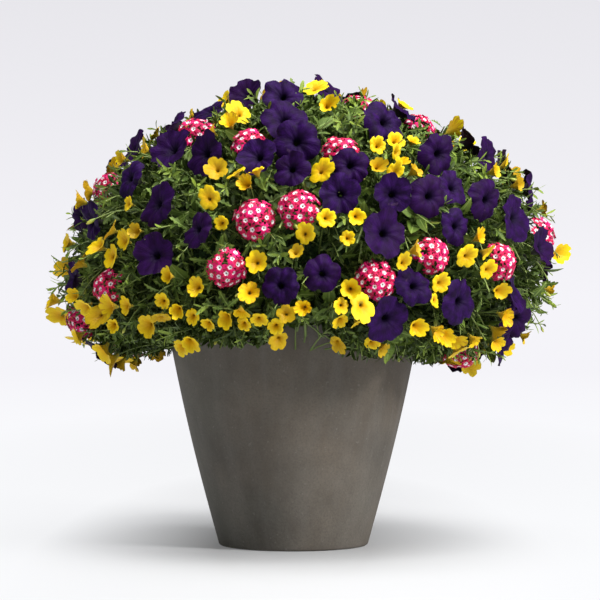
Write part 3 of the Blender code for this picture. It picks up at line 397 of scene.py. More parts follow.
def held_above(directions):
    """The same directions, none of them below the lowest level there."""
    level = np.radians(np.maximum(level_of(directions), lowest_level(directions)))
    flat = unit(directions[:, :2])
    return np.column_stack((flat * np.cos(level)[:, None], np.sin(level)))


def hidden_directions(count, others, rng, low_share, high_share):
    """More directions on the sides and the back, well spaced from the others."""
    chosen = list(others)
    added = []
    while len(added) < count:
        tries = unit(rng.normal(size=(TRIES, 3)))
        level = level_of(tries)
        view = unit(EYE - on_surface(tries))
        facing = (normals_at(tries) * view).sum(axis=1)
        share = np.where(level < SHOULDER_LEVEL, low_share, high_share)
        keep = (facing < HIDDEN_FACING) & (level > lowest_level(tries)) & (rng.random(TRIES) < share)
        tries = tries[keep][:TRIES_KEPT]
        gaps = lengths(tries[:, None] - np.array(chosen)[None])[:, :, 0].min(axis=1)
        best = tries[int(np.argmax(gaps))]
        chosen.append(best)
        added.append(best)
    return added


def leant_out(normals, shares):
    """The same normals, each upward one leant out to a share of its height angle."""
    level = np.arcsin(np.clip(normals[:, 2], -1.0, 1.0))
    level = np.where(level > 0, level * shares, level)
    flat = unit(normals[:, :2] + 1e-9)
    return np.column_stack((flat * np.cos(level)[:, None], np.sin(level)))


def place_blooms():
    """Every bloom's kind, direction, centre, axis, radius and spin."""
    rng = np.random.default_rng(LAYOUT_SEED)
    kinds, directions = [], []
    for kind in KINDS:
        seen = [seen_direction(x / 100, z / 100) for x, z in SEEN[kind]]
        more = hidden_directions(COUNTS[kind] - len(seen), seen, rng, *HIDDEN_SHARES[kind])
        directions += seen + more
        kinds += [kind] * COUNTS[kind]
    directions = held_above(np.array(directions))
    kinds = np.array(kinds)
    low = np.array([RADII[kind][0] for kind in kinds])
    high = np.array([RADII[kind][1] for kind in kinds])
    radii = low + (high - low) * rng.random(len(kinds)) ** SMALL_SKEW
    lifts = np.array([LIFTS[kind] for kind in kinds]) + rng.uniform(*UNEVEN_LIFT, len(kinds))
    places = on_surface(directions)
    wanted = places.copy()
    apart = radii[:, None] + radii[None] + BLOOM_GAP
    np.fill_diagonal(apart, 0.0)
    for _ in range(SPREAD_ROUNDS):
        gaps = places[:, None] - places[None]
        far = lengths(gaps)[:, :, 0] + 1e-9
        push = np.maximum(apart - far, 0.0)
        moves = (gaps / far[:, :, None] * push[:, :, None]).sum(axis=1) * PUSH
        places = places + moves + (wanted - places) * PULL_BACK
        directions = held_above(unit(places - CENTRE))
        places = on_surface(directions)
    normals = normals_at(directions)
    faces = leant_out(normals, np.array([LEANS[kind] for kind in kinds]))
    turned = np.sqrt(np.maximum(1 - (faces * normals).sum(axis=1) ** 2, 0))
    lifts += LEAN_LIFT * radii * turned * (kinds != "verbena")
    axes = unit(faces + rng.normal(size=normals.shape) * LEAN_SPREAD)
    centres = on_surface(directions) + directions * lifts[:, None]
    spins = rng.uniform(0, 2 * math.pi, len(kinds))
    return kinds, directions, centres, axes, radii, spins


def grouped(points, count):
    """Neighbouring points in the same group: a group number for each point."""
    seeds = [int(np.argmax(points[:, 2]))]
    while len(seeds) < count:
        gaps = lengths(points[:, None] - points[seeds][None])[:, :, 0].min(axis=1)
        seeds.append(int(np.argmax(gaps)))
    middles = points[seeds]
    for _ in range(GROUP_ROUNDS):
        group = lengths(points[:, None] - middles[None])[:, :, 0].argmin(axis=1)
        middles = np.array([points[group == g].mean(axis=0) for g in range(count)])
    return group


def placed(name, data):
    """Make an object of the scene."""
    thing = bpy.data.objects.new(name, data)
    bpy.context.scene.collection.objects.link(thing)
    return thing


class Patches:
    """Triangles of several materials that become one piece."""

    def __init__(self):
        self.points, self.faces, self.uvs, self.slots, self.materials = [], [], [], [], []
        self.count = 0

    def add(self, points, faces, uvs, material):
        """Take in points, their places on the map, and faces that number them from 0."""
        if material not in self.materials:
            self.materials.append(material)
        self.points.append(points.reshape(-1, 3))
        self.uvs.append(uvs)
        self.faces.append(faces + self.count)
        self.slots.append(np.full(len(faces), self.materials.index(material), np.int32))
        self.count += len(self.points[-1])

    def piece(self, name):
        """Make the piece as one smooth mesh object."""
        faces = np.concatenate(self.faces).astype(np.int32)
        mesh = bpy.data.meshes.new(name)
        mesh.vertices.add(self.count)
        mesh.vertices.foreach_set("co", np.concatenate(self.points).astype(np.float32).ravel())
        mesh.loops.add(faces.size)
        mesh.loops.foreach_set("vertex_index", faces.ravel())
        mesh.polygons.add(len(faces))
        mesh.polygons.foreach_set("loop_start", np.arange(0, faces.size, 3, dtype=np.int32))
        mesh.polygons.foreach_set("material_index", np.concatenate(self.slots))
        for material in self.materials:
            mesh.materials.append(LOOKS[material])
        layer = mesh.uv_layers.new(name=UV_MAP)
        layer.uv.foreach_set("vector", np.concatenate(self.uvs)[faces.ravel()].astype(np.float32).ravel())
        mesh.update(calc_edges=True)
        mesh.validate()
        mesh.shade_smooth()
        return placed(name, mesh)


def circle(count):
    """Evenly spaced angles round a full turn."""
    return np.arange(count) * 2 * math.pi / count


def grid_faces(rows, columns, closed=False):
    """Triangles over a grid of points, row by row; a closed grid joins its ends."""
    across = np.arange(columns if closed else columns - 1)
    starts = np.arange(rows - 1)[:, None] * columns
    a = (starts + across).ravel()
    b = (starts + (across + 1) % columns).ravel()
    first, second = (a, b, b + columns), (a, b + columns, a + columns)
    return np.concatenate((np.column_stack(first), np.column_stack(second)))


def repeated(faces, count, step):
    """The same faces for each of many equal sets of points."""
    return (faces[None] + (np.arange(count) * step)[:, None, None]).reshape(-1, 3)


def across(axis, spin=0.0):
    """Unit vectors square to each axis and to each other, turned about it."""
    spin = np.asarray(spin)[..., None]
    side = unit(np.cross(axis, (0.31, 0.17, 0.93)))
    turned = side * np.cos(spin) + np.cross(axis, side) * np.sin(spin)
    return turned, np.cross(axis, turned)


def cell_place(cell, right, up):
    """Places on the map, from shares 0 to 1 across and up a cell."""
    size = 1 - 2 * CELL_INSET
    u = cell % MAP_CELLS + CELL_INSET + size * right
    v = cell // MAP_CELLS + CELL_INSET + size * up
    return np.column_stack(np.broadcast_arrays(u, v)) / MAP_CELLS


def disc_place(cell, shares, turns):
    """Places on the map for a disc, row by row, from shares of its radius."""
    far, around = np.repeat(shares, len(turns)) / 2, np.tile(turns, len(shares))
    return cell_place(cell, 0.5 + far * np.cos(around), 0.5 + far * np.sin(around))


def dish(patches, place, frame_of, turns, reach, rise, shares, cell, material):
    """A round surface: how far out and how far up each ring stands."""
    side, other, axis = frame_of
    points = place + side * (np.cos(turns) * reach)[..., None]
    points = points + other * (np.sin(turns) * reach)[..., None] + axis * rise[..., None]
    faces = grid_faces(len(shares), len(turns), closed=True)
    patches.add(points, faces, disc_place(cell, shares, turns), material)


def bow(start, middle, end, t):
    """Points at shares t of the way along each bow from start to end, pulled to the middle."""
    return start * (1 - t) ** 2 + middle * 2 * t * (1 - t) + end * t**2


def heading(start, middle, end, t):
    """The direction of each bow at shares t of the way."""
    return unit((middle - start) * (1 - t) + (end - middle) * t + 1e-9)


def stems(patches, bows, radii, rows=5):
    """Round stems along bows, with their radii at the start and at the end."""
    start, middle, end = (part[:, None] for part in bows)
    count = len(start)
    t = np.linspace(0, 1, rows)[None, :, None]
    spine = bow(start, middle, end, t)
    side, other = across(heading(start, middle, end, t))
    turns = circle(STEM_SIDES)[None, None, :, None]
    ring = side[:, :, None] * np.cos(turns) + other[:, :, None] * np.sin(turns)
    radius = radii[0] + (radii[1] - radii[0]) * t[..., None]
    faces = repeated(grid_faces(rows, STEM_SIDES, closed=True), count, rows * STEM_SIDES)
    right = np.tile(np.abs(np.linspace(-1, 1, STEM_SIDES)), rows * count)
    up = np.tile(np.repeat(np.linspace(0, 1, rows), STEM_SIDES), count)
    patches.add(spine[:, :, None] + ring * radius, faces, cell_place(GREEN_CELL, right, up), "stem")


def blades(roots, aims, tops, long, wide, shape, droop):
    """Points of many leaves: left edge, rib and right edge, from their roots to their tips."""
    share, half = np.array(shape).T
    aims = unit(aims)
    side = unit(np.cross(aims, tops) + 1e-9)
    top = np.cross(side, aims)
    spine = roots[:, None] + aims[:, None] * (share[None] * long[:, None])[..., None]
    spine = spine - top[:, None] * (share[None] ** 2 * (long * droop)[:, None])[..., None]
    out = (half[None] * wide[:, None] / 2)[..., None]
    lifted = spine + top[:, None] * out * LEAF_FOLD
    points = np.stack((lifted - side[:, None] * out, spine, lifted + side[:, None] * out), axis=2)
    return outside_pot(points)


def add_leaves(patches, points, cells, shape, material):
    """Leaves of one shape, each with a cell of the map for its shade."""
    share, half = np.array(shape).T
    rows, count = len(share), len(points)
    right = np.tile(np.column_stack((0.5 - half / 2, np.full(rows, 0.5), 0.5 + half / 2)).ravel(), count)
    up = np.tile(np.repeat(share, 3), count)
    faces = repeated(grid_faces(rows, 3), count, rows * 3)
    patches.add(points, faces, cell_place(np.repeat(cells, rows * 3), right, up), material)


def grow_leaves(patches, bows, growth, cells, long, wide, droop, kind):
    """Leaves along sprigs, less those that would cover a bloom or hang below the edge.

    A sprig that loses most of its leaves gets no stem.
    """
    points = blades(*growth, long, wide, kind["shape"], droop)
    rib = points[:, 1::2, 1]
    keep = clear_of_blooms(rib) & (rib[..., 2] > lower_edge(rib)).all(axis=1)
    add_leaves(patches, points[keep], cells[keep], kind["shape"], "leaf")
    leafy = keep.reshape(len(bows[0]), -1).mean(axis=1) > LEAST_LEAVES
    stems(patches, [part[leafy] for part in bows], kind["stem"])


def lower_edge(points):
    """The lowest height of greenery at each point's place round the pot."""
    turn = np.degrees(turn_of(points))
    return np.interp(turn, EDGE_TURNS, EDGE_HEIGHTS)


def pot_radius(height):
    """The pot's outer radius at a height."""
    share = np.clip(height / POT_HEIGHT, 0, 1)
    straight = POT_BASE_RADIUS + (POT_RIM_RADIUS - POT_BASE_RADIUS) * share
    return straight + POT_SWELL * np.sin(math.pi * share)


def outside_pot(points):
    """The same points, with those that would cut into the pot moved out of its wall."""
    flat = lengths(points[..., :2])
    room = (pot_radius(points[..., 2]) + LEAF_CLEARANCE)[..., None] / (flat + 1e-9)
    low = (points[..., 2:] < POT_HEIGHT + RIM_COVER) & (flat > POT_RIM_RADIUS - 3 * POT_WALL)
    moved = points[..., :2] * np.where(low, np.maximum(room, 1.0), 1.0)
    return np.concatenate((moved, points[..., 2:]), axis=-1)


def lobe_share(turns):
    """Where each angle lies in its lobe: 0 in the lobe's middle, -1 and 1 between lobes."""
    half = math.pi / LOBES
    return ((turns + half) % (2 * half) - half) / half


def ruffles(turns, rng, waves):
    """An uneven wave round a rim, of height about 1."""
    total = np.zeros_like(turns)
    for count, size in waves:
        total += size * rng.uniform(0.6, 1.3) * np.sin(count * turns + rng.uniform(0, 2 * math.pi))
    return total


def sepals(patches, kind, centre, frame_of):
    """Narrow green sepals round the foot of a flower's tube."""
    side, other, axis = frame_of
    deep, wide, long = SEPALS[kind]
    turns = circle(LOBES) + 0.3
    out = side * np.cos(turns)[:, None] + other * np.sin(turns)[:, None]
    roots = centre - axis * deep + out * wide / 2
    sizes = np.full(LOBES, long), np.full(LOBES, wide)
    points = blades(roots, axis + out * 0.45, -out, *sizes, SEPAL, 0.15)
    add_leaves(patches, points, np.full(LOBES, GREEN_CELL), SEPAL, "stem")


def depths(profile, shares):
    """Heights in metres at shares of the radius, from a profile in millimetres."""
    at, height = np.array(profile).T
    return np.interp(shares, at, height) / 1000


def funnel_flower(patches, kind, centre, frame_of, turns, rim, rise, lean, radius, cell):
    """Joined petals: their front, their back that runs into the tube, and the sepals."""
    rings = np.array(RINGS[kind])
    s = rings[:, None]
    reach = s * (1 + (rim - 1) * s) * radius
    rise = rise + reach * (np.cos(turns) * lean[0] + np.sin(turns) * lean[1])
    dish(patches, centre, frame_of, turns, reach, rise, rings, cell, kind)
    back_rings = np.array(BACK_RINGS[kind])
    back = back_rings[:, None]
    tube_end, rim_start = TUBE_ENDS[kind]
    near_rim = np.clip((back - tube_end) / (rim_start - tube_end), 0, 1)
    front = np.stack([np.interp(back_rings, rings, column) for column in rise.T], axis=1) - PETAL_THICKNESS
    front[0] = rise[-1]
    rise = near_rim * front + (1 - near_rim) * depths(TUBES[kind], back)
    reach = back * (1 + (rim - 1) * back * near_rim) * radius
    dish(patches, centre, frame_of, turns, reach, rise, back_rings, BACK_CELL, kind)
    sepals(patches, kind, centre, frame_of)


def petunia(patches, centre, frame_of, radius, cell, rng):
    """A wide funnel of five joined and ruffled lobes, a slim tube and five sepals."""
    turns = circle(PETUNIA_COLUMNS)
    lobe = lobe_share(turns)
    notch = np.exp(-(((1 - np.abs(lobe)) / 0.20) ** 2))
    rim = 1.02 - 0.08 * lobe**2 - 0.11 * notch
    rim = rim + 0.022 * ruffles(turns, rng, ((2, 1.2), (3, 1.0), (7, 0.9), (11, 0.6)))
    s = np.array(RINGS["petunia"])[:, None]
    waves = ruffles(turns, rng, ((2, 0.6), (3, 0.5), (5, 0.4), (9, 0.35), (13, 0.25)))
    rise = depths(FUNNELS["petunia"], s) + 0.0030 * s**3 * waves
    rise = rise - 0.0011 * np.exp(-((lobe / 0.14) ** 2)) * np.sin(math.pi * s**0.8)
    rise = rise - 0.0016 * notch * s**1.5 + 0.0013 * (1 - lobe**2) * np.sin(math.pi * s)
    rise = rise + s**4 * rng.uniform(-0.0085, 0.0035)
    lean = rng.normal(size=2) * 0.13
    funnel_flower(patches, "petunia", centre, frame_of, turns, rim, rise, lean, radius, cell)


def calibrachoa(patches, centre, frame_of, radius, cell, rng):
    """A small trumpet of five round lobes, a short tube and five sepals."""
    turns = circle(CALIBRACHOA_COLUMNS)
    lobe = lobe_share(turns)
    notch = np.exp(-(((1 - np.abs(lobe)) / 0.24) ** 2))
    crease = np.exp(-((lobe / 0.2) ** 2))
    rim = 1.07 - 0.08 * lobe**2 - 0.17 * notch - 0.05 * crease
    rim = rim + 0.03 * ruffles(turns, rng, ((2, 1.0), (3, 0.8), (7, 0.5)))
    s = np.array(RINGS["calibrachoa"])[:, None]
    waves = ruffles(turns, rng, ((2, 0.5), (3, 0.5), (5, 0.3), (10, 0.25)))
    rise = depths(FUNNELS["calibrachoa"], s) + 0.0013 * s**2 * waves
    rise = rise - 0.0014 * notch * s - 0.0008 * crease * np.sin(math.pi * s)
    rise = rise - 0.9 * np.clip(s - 0.84, 0, 1) * rng.uniform(0.001, 0.010)
    rise = rise + s**2 * rng.uniform(-0.001, 0.0085)
    lean = rng.normal(size=2) * 0.38
    funnel_flower(patches, "calibrachoa", centre, frame_of, turns, rim, rise, lean, radius, cell)


def floret(patches, place, axis, size, cell, rng):
    """A verbena floret: five notched petals round a pale eye, and the tube under it."""
    frame_of = (*across(axis, rng.uniform(0, 2 * math.pi)), axis)
    angles, rim = np.array(FLORET_PETAL).T
    turns = (circle(LOBES)[:, None] + angles[None]).ravel()
    rim = np.tile(rim, LOBES) + rng.uniform(-0.04, 0.04, len(turns))
    rings = np.array(FLORET_RINGS)
    s = rings[:, None]
    waves = ruffles(turns, rng, ((5, 0.6), (3, 0.6), (8, 0.4)))
    rise = np.array(FLORET_RISE)[:, None] + 0.0007 * s**2 * waves
    rise = rise - s**2 * rng.uniform(0.0, 0.0016)
    reach = s * (1 + (rim - 1) * s**0.6) * size
    dish(patches, place, frame_of, turns, reach, rise, rings, cell, "verbena")


def verbena(patches, centre, frame_of, radius, _, rng):
    """A dome of many small florets, each with a shade of its own, over their green calyxes."""
    side, other, axis = frame_of
    middle = centre - axis * radius * DOME_DEPTH
    dome = radius * DOME_RADIUS
    for lean, count in FLORET_TIERS:
        for turn in circle(count) + lean * 2.1:
            turn += rng.uniform(-0.16, 0.16) * 2 * math.pi / count
            tip = lean + rng.uniform(-0.08, 0.08)
            aside = side * math.cos(turn) + other * math.sin(turn)
            out = axis * math.cos(tip) + aside * math.sin(tip)
            size = rng.uniform(*FLORET_RADIUS)
            facing = unit(out + 0.22 * axis + rng.normal(size=3) * 0.13)
            place = middle + out * (dome + rng.uniform(*UNEVEN_DOME))
            shade = int(rng.integers(*FACE_CELLS))
            if lean < LOWEST_TIER or rng.random() < LOWEST_KEPT:
                floret(patches, place, facing, size, shade, rng)
            foot = middle + out * dome * 0.35
            bows = np.stack((foot, (foot + place) / 2, place - facing * 0.001))[:, None]
            stems(patches, bows, FLORET_STEM, rows=3)


BLOOM_MAKERS = {"petunia": petunia, "calibrachoa": calibrachoa, "verbena": verbena}


def bloom_pieces():
    """One piece for each group of blooms, in the groups of the solids."""
    kinds, directions, centres, axes, radii, spins = FLOWERS
    for kind in KINDS:
        members = np.nonzero(kinds == kind)[0]
        group = grouped(centres[members], GROUPS[kind])
        for g in range(GROUPS[kind]):
            patches = Patches()
            rng = np.random.default_rng(BLOOM_SEEDS[kind] + g)
            chosen = members[group == g]
            for i in chosen:
                cell = int(rng.integers(*FACE_CELLS))
                frame_of = (*across(axes[i], spins[i]), axes[i])
                BLOOM_MAKERS[kind](patches, centres[i], frame_of, radii[i], cell, rng)
            foot = centres[chosen] - axes[chosen] * NECK_DEPTH[kind]
            end = on_surface(directions[chosen], -HULL_DEPTH)
            middle = (foot + end) / 2 - axes[chosen] * 0.008 + rng.normal(size=foot.shape) * 0.004
            stems(patches, (foot, middle, end), (STEM_RADIUS[kind], STEM_RADIUS[kind] * STEM_SPREAD))
            piece = patches.piece(f"{kind}_blooms_{g + 1:02d}")
            finish_piece(piece, f"{kind}_{g + 1:02d}")


def finish_piece(piece, node):
    """Let a piece stand for its node."""
    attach(piece, "root")
    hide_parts(node)


def spread_directions(count, low, high, rng):
    """Directions spread evenly between two levels, in degrees."""
    place = (np.arange(count) + rng.uniform(0.2, 0.8, count)) / count
    top = math.sin(math.radians(high))
    height = top - place * (top - math.sin(math.radians(low)))
    turn = np.arange(count) * GOLDEN_ANGLE + rng.uniform(-0.1, 0.1, count)
    flat = np.sqrt(1 - height**2)
    return round_axis(flat, turn, height)


def over_faces(points):
    """How high points stand over each bloom's face, and how far from its middle as a share."""
    _, _, centres, axes, radii, _ = FLOWERS
    gaps = points[:, None] - centres[None]
    high = (gaps * axes[None]).sum(axis=2)
    return high, np.sqrt(np.maximum((gaps**2).sum(axis=2) - high**2, 0)) / radii[None]


def under_blooms(directions, lifts, rng):
    """Lower the tips that would stand in front of a bloom."""
    high, aside = over_faces(on_surface(directions))
    _, _, _, axes, _, _ = FLOWERS
    slope = directions @ axes.T
    depth = rng.uniform(*TIP_DEPTH, len(lifts))[:, None]
    behind = (aside < TIP_MARGIN) & (slope > LEAST_SLOPE)
    room = np.where(behind, (-depth - high) / np.maximum(slope, LEAST_SLOPE), 1.0)
    return np.clip(np.minimum(lifts, room.min(axis=1)), SHORTEST_SPRIG - HULL_DEPTH, None)


def clear_of_blooms(points):
    """Which sets of points keep out of every bloom's face and of the space before it."""
    kinds, *_ = FLOWERS
    throat = np.array([THROAT_DEPTH[kind] for kind in kinds])
    clear = np.ones(len(points), bool)
    for k in range(points.shape[1]):
        high, aside = over_faces(points[:, k])
        lowest = -FACE_DEPTH - throat[None] * np.clip(1 - aside / THROAT_WIDTH, 0, 1)
        before = (aside < LEAF_MARGIN) & (high > lowest) & (high < SIGHT_DEPTH)
        clear &= ~before.any(axis=1)
    return clear


def depth_of(points):
    """How far points stand out of the mound's surface; below it they count less than 0."""
    outward = points - CENTRE
    return lengths(outward)[:, 0] - mound_radius(unit(outward))


def sprig_bows(directions, lifts, spread, rng):
    """Start, middle and end of each sprig, from deep in the mound to its surface."""
    lean = directions + rng.normal(size=directions.shape) * spread + UPWARD_LEAN
    start = on_surface(unit(lean), 0.0)
    start = start - unit(lean) * HULL_DEPTH * rng.uniform(*ROOT_DEPTH, len(lifts))[:, None]
    end = on_surface(directions) + directions * lifts[:, None]
    end = end + rng.normal(size=end.shape) * TIP_SCATTER
    end[:, 2] = np.maximum(end[:, 2], lower_edge(end) + rng.uniform(*EDGE_SCATTER, len(end)))
    middle = (start + end) / 2 + unit(lean) * SPRIG_BULGE + SPRIG_ARCH
    return start, outside_pot(middle), outside_pot(end)


def along_sprigs(bows, count, first, rng):
    """Roots, aims and shares of the way for leaves all along each sprig."""
    start, middle, end = (np.repeat(part, count, axis=0) for part in bows)
    sprigs = len(bows[0])
    step = np.tile(np.linspace(first, 1.0, count), sprigs)
    share = np.clip(step + rng.uniform(-0.02, 0.02, len(step)), 0, 1)
    t = share[:, None]
    roots, aim = bow(start, middle, end, t), heading(start, middle, end, t)
    spins = np.repeat(rng.uniform(0, 6.28, sprigs), count)
    spins = spins + np.tile(np.arange(count) * GOLDEN_ANGLE, sprigs)
    out, _ = across(aim, spins)
    return roots, aim, out, share


def leafy_sprigs(patches, bows, rng):
    """Narrow leaves round thin stems, close together; pale at the tips near the surface, partly as painted
    light, and with painted shade deep in.
    """
    roots, aim, out, share = along_sprigs(bows, NARROW["leaves"], NARROW["first"], rng)
    count = len(roots)
    size = np.interp(share, *NARROW["taper"]) * rng.uniform(*NARROW["uneven"], count)
    long, wide = NARROW["long"] * size, NARROW["wide"] * size * rng.uniform(0.8, 1.25, count)
    # Pale leaves: partly young growth at the tips, partly painted light, as only leaves near the mound's
    # surface get them
    lit = np.clip(depth_of(roots) / LIT_DEPTH + 1, 0, 1)
    pale = share * lit + rng.normal(size=count) * 0.12 > PALE_FROM
    # Painted shade: leaves deep in the mound take the two cells that are darkened towards near-black
    deep = depth_of(roots) + rng.normal(size=count) * 0.006 < PAINTED_SHADE_DEPTH
    dark = DARK_LEAVES + rng.integers(0, 2, count) + 2 * ~deep
    shade = np.where(pale, rng.integers(*PALE_LIT_LEAVES, count), dark)
    aims = aim * np.interp(share, (0, 1), (0.35, 1.2))[:, None] + out
    droop = rng.uniform(*NARROW["droop"], count)
    grow_leaves(patches, bows, (roots, aims, aim), shade, long, wide, droop, NARROW)


def broad_sprigs(patches, bows, rng, kind=BROAD):
    """Large leaves, spaced out along thicker stems."""
    roots, aim, out, share = along_sprigs(bows, kind["leaves"], kind["first"], rng)
    count = len(roots)
    size = np.interp(share, *kind["taper"]) * rng.uniform(*kind["uneven"], count)
    shade = rng.integers(*BROAD_CELLS, count)
    droop = rng.uniform(*kind["droop"], count)
    growth = (roots, aim * kind["ahead"] + out, aim)
    grow_leaves(patches, bows, growth, shade, kind["long"] * size, kind["wide"] * size, droop, kind)


def cut_sprigs(patches, bows, rng):
    """Deeply toothed leaves on slim stems."""
    broad_sprigs(patches, bows, rng, TOOTHED)


def buds(patches, bows, rng):
    """Closed buds, slim and pale, at the ends of thin stems."""
    stems(patches, bows, BUD_STEM)
    turns = circle(BUD_SIDES)
    shares, half = np.array(BUD_SHAPE).T
    for place, axis, long in zip(bows[2], heading(*bows, 1.0), rng.uniform(*BUD_LENGTH, len(bows[2]))):
        frame_of = (*across(axis), axis)
        reach = np.repeat(half[:, None] * long * BUD_WIDTH, BUD_SIDES, axis=1)
        rise = np.repeat(shares[:, None] * long, BUD_SIDES, axis=1)
        dish(patches, place, frame_of, turns, reach, rise, shares, BUD_CELL, "bud")


def painted_shade_hull(patches, low_turn, high_turn):
    """A sheet of painted shade for the dark inside of the mound, lumpy as packed leaves, down over the
    pot's rim to the soil.
    """
    turns = np.linspace(low_turn, high_turn, HULL_COLUMNS)
    levels = np.radians(np.linspace(90, HULL_LOWEST, HULL_ROWS))
    level, turn = np.meshgrid(levels, turns, indexing="ij")
    flat = round_axis(np.cos(level), turn, np.sin(level)).reshape(-1, 3)
    lumps = np.sin(flat[:, 0] * 47) + np.sin(flat[:, 1] * 43 + 1) + np.sin(flat[:, 2] * 51 + 2)
    dome = on_surface(flat, -HULL_DEPTH + (lumps - 1) * HULL_LUMP).reshape(*level.shape, 3)
    rim = POT_RIM_RADIUS
    under = ((rim + 0.004, POT_HEIGHT - 0.008), (rim + 0.002, POT_HEIGHT + RIM_COVER),
             (rim - POT_WALL - 0.003, POT_HEIGHT + RIM_COVER), (rim - POT_WALL - 0.012, SOIL_TOP + 0.001))
    points = np.concatenate((dome, [round_axis(radius, turns, height) for radius, height in under]))
    right = np.tile(np.linspace(0, 1, len(turns)), len(points))
    up = np.repeat(np.linspace(1, 0, len(points)), len(turns))
    faces = grid_faces(len(points), len(turns))
    # Painted shade: the hull wears the near-black shaded-tangle material
    patches.add(points, faces, cell_place(HULL_CELL, right, up), "shade")


def sector_of(directions):
    """The sector round the pot that each direction belongs to."""
    turn = turn_of(directions) % (2 * math.pi)
    return np.minimum((turn / (2 * math.pi / SECTORS)).astype(int), SECTORS - 1)


# Each kind of sprig: how many, between which levels in degrees, how far out of the mound's
# surface their tips stand, and how unevenly they lean
SPRIG_PLANS = (
    (leafy_sprigs, 700, -22, 90, (-0.045, -0.018), 0.14),
    (leafy_sprigs, 900, -24, 90, (-0.018, 0.004), 0.10),
    (leafy_sprigs, 220, -9, 5, (-0.058, -0.030), 0.05),
    (leafy_sprigs, 110, -18, 90, (0.004, 0.018), 0.12),
    (cut_sprigs, 170, -14, 90, (-0.026, -0.002), 0.10),
    (broad_sprigs, 130, -16, 90, (-0.030, -0.006), 0.12),
    (buds, 70, -22, 90, (-0.010, 0.002), 0.05),
)


def foliage_pieces():
    """The leaves round the blooms, in the sectors of the solids."""
    rng = np.random.default_rng(FOLIAGE_SEED)
    grown = []
    for maker, count, low, high, lift, spread in SPRIG_PLANS:
        directions = spread_directions(count, low, high, rng)
        lifts = under_blooms(directions, rng.uniform(*lift, count), rng)
        grown.append((maker, sector_of(directions), sprig_bows(directions, lifts, spread, rng)))
    grown.append((leafy_sprigs, *trailing_bows(rng)))
    for s in range(SECTORS):
        patches = Patches()
        step = 2 * math.pi / SECTORS
        painted_shade_hull(patches, s * step, (s + 1) * step)
        for maker, sector, bows in grown:
            maker(patches, tuple(part[sector == s] for part in bows), rng)
        finish_piece(patches.piece(f"foliage_leaves_{s + 1}"), f"foliage_{s + 1}")


def trailing_bows(rng):
    """Sprigs that come over the rim and hang down round the pot."""
    turn = np.arange(TRAILS) * GOLDEN_ANGLE
    aside = ((turn + math.pi / 2) + math.pi) % (2 * math.pi) - math.pi
    front = np.exp(-((aside / TRAIL_FRONT_WIDTH) ** 2))
    level = np.radians(rng.uniform(*TRAIL_LEVELS, TRAILS) + FRONT_RISE * front)
    directions = round_axis(np.cos(level), turn, np.sin(level))
    end = on_surface(directions, 0.0) + directions * rng.uniform(0.0, 0.020, TRAILS)[:, None]
    end[:, 2] = np.maximum(end[:, 2], lower_edge(end) + rng.uniform(0.002, 0.012, TRAILS))
    outwards = round_axis(1.0, turn, 0.0)
    start = outwards * TRAIL_START[0] + np.array((0, 0, TRAIL_START[1]))
    middle = (start + end) / 2 + outwards * TRAIL_BULGE + SPRIG_ARCH
    low = start[:, 2] - end[:, 2] > LEAST_FALL
    bows = (start[low], outside_pot(middle[low]), outside_pot(end[low]))
    return sector_of(directions[low]), bows


def lathe(outline, sides, name, material, wobble=None):
    """A solid of revolution from its outline, with its map laid out round and along it."""
    outline = np.array(outline)
    turns = np.linspace(0, 2 * math.pi, sides + 1)
    radius, height = outline[:, :1], outline[:, 1:]
    points = round_axis(radius, turns, height)
    if wobble is not None:
        points = wobble(points)
    run = np.concatenate(((0,), np.cumsum(lengths(np.diff(outline, axis=0))[:, 0])))
    right = np.tile(turns / (2 * math.pi), len(outline))
    up = np.repeat(run / run[-1], sides + 1)
    patches = Patches()
    patches.add(points, grid_faces(len(outline), sides + 1), np.column_stack((right, up)), material)
    piece = patches.piece(name)
    join_seams(piece.data)
    return piece


def join_seams(mesh):
    """Join the points that meet where a turned surface closes."""
    shape = bmesh.new()
    shape.from_mesh(mesh)
    bmesh.ops.remove_doubles(shape, verts=shape.verts, dist=1e-6)
    shape.to_mesh(mesh)
    shape.free()


def arc(centre, radius, start, end, count):
    """Points of an arc in an outline, between two angles in degrees."""
    turns = np.radians(np.linspace(start, end, count))
    return [(centre[0] + radius * math.cos(a), centre[1] + radius * math.sin(a)) for a in turns]


def pot_outline():
    """Half the pot's section: under the base, up the outside, over the rim and down inside."""
    foot = pot_radius(POT_FOOT) - POT_FOOT
    rim = pot_radius(POT_HEIGHT)
    heights = np.linspace(POT_FOOT, POT_HEIGHT - 2 * POT_EDGE, 22)
    outline = [(r, 0.0) for r in (0.0, 0.03, 0.06)]
    outline += arc((foot, POT_FOOT), POT_FOOT, -90, 0, 5)
    outline += [(float(pot_radius(h)), float(h)) for h in heights[1:]]
    outline += arc((rim - POT_EDGE, POT_HEIGHT - POT_EDGE), POT_EDGE, 0, 90, 5)
    outline += arc((rim - POT_WALL + POT_EDGE, POT_HEIGHT - POT_EDGE), POT_EDGE, 90, 180, 5)
    inside = np.linspace(POT_HEIGHT - 3 * POT_EDGE, POT_FLOOR, 10)
    outline += [(float(pot_radius(h)) - POT_WALL, float(h)) for h in inside]
    outline += [(r, POT_FLOOR) for r in (0.04, 0.0)]
    return outline


def planter():
    """The pot, turned smooth, with the faint unevenness of a cast wall."""

    def uneven(points):
        x, y, z = points[..., 0], points[..., 1], points[..., 2]
        swell = np.sin(3 * np.arctan2(y, x) + 1.0) * np.sin(z * 17) + np.sin(5 * np.arctan2(y, x) + z * 23)
        scale = 1 - POT_WOBBLE * (1 + swell / 2) / (lengths(points[..., :2])[..., 0] + 0.05)
        return np.stack((x * scale, y * scale, z), axis=-1)

    piece = lathe(pot_outline(), POT_SIDES, "planter_body", "pot", uneven)
    finish_piece(piece, "planter_pot")


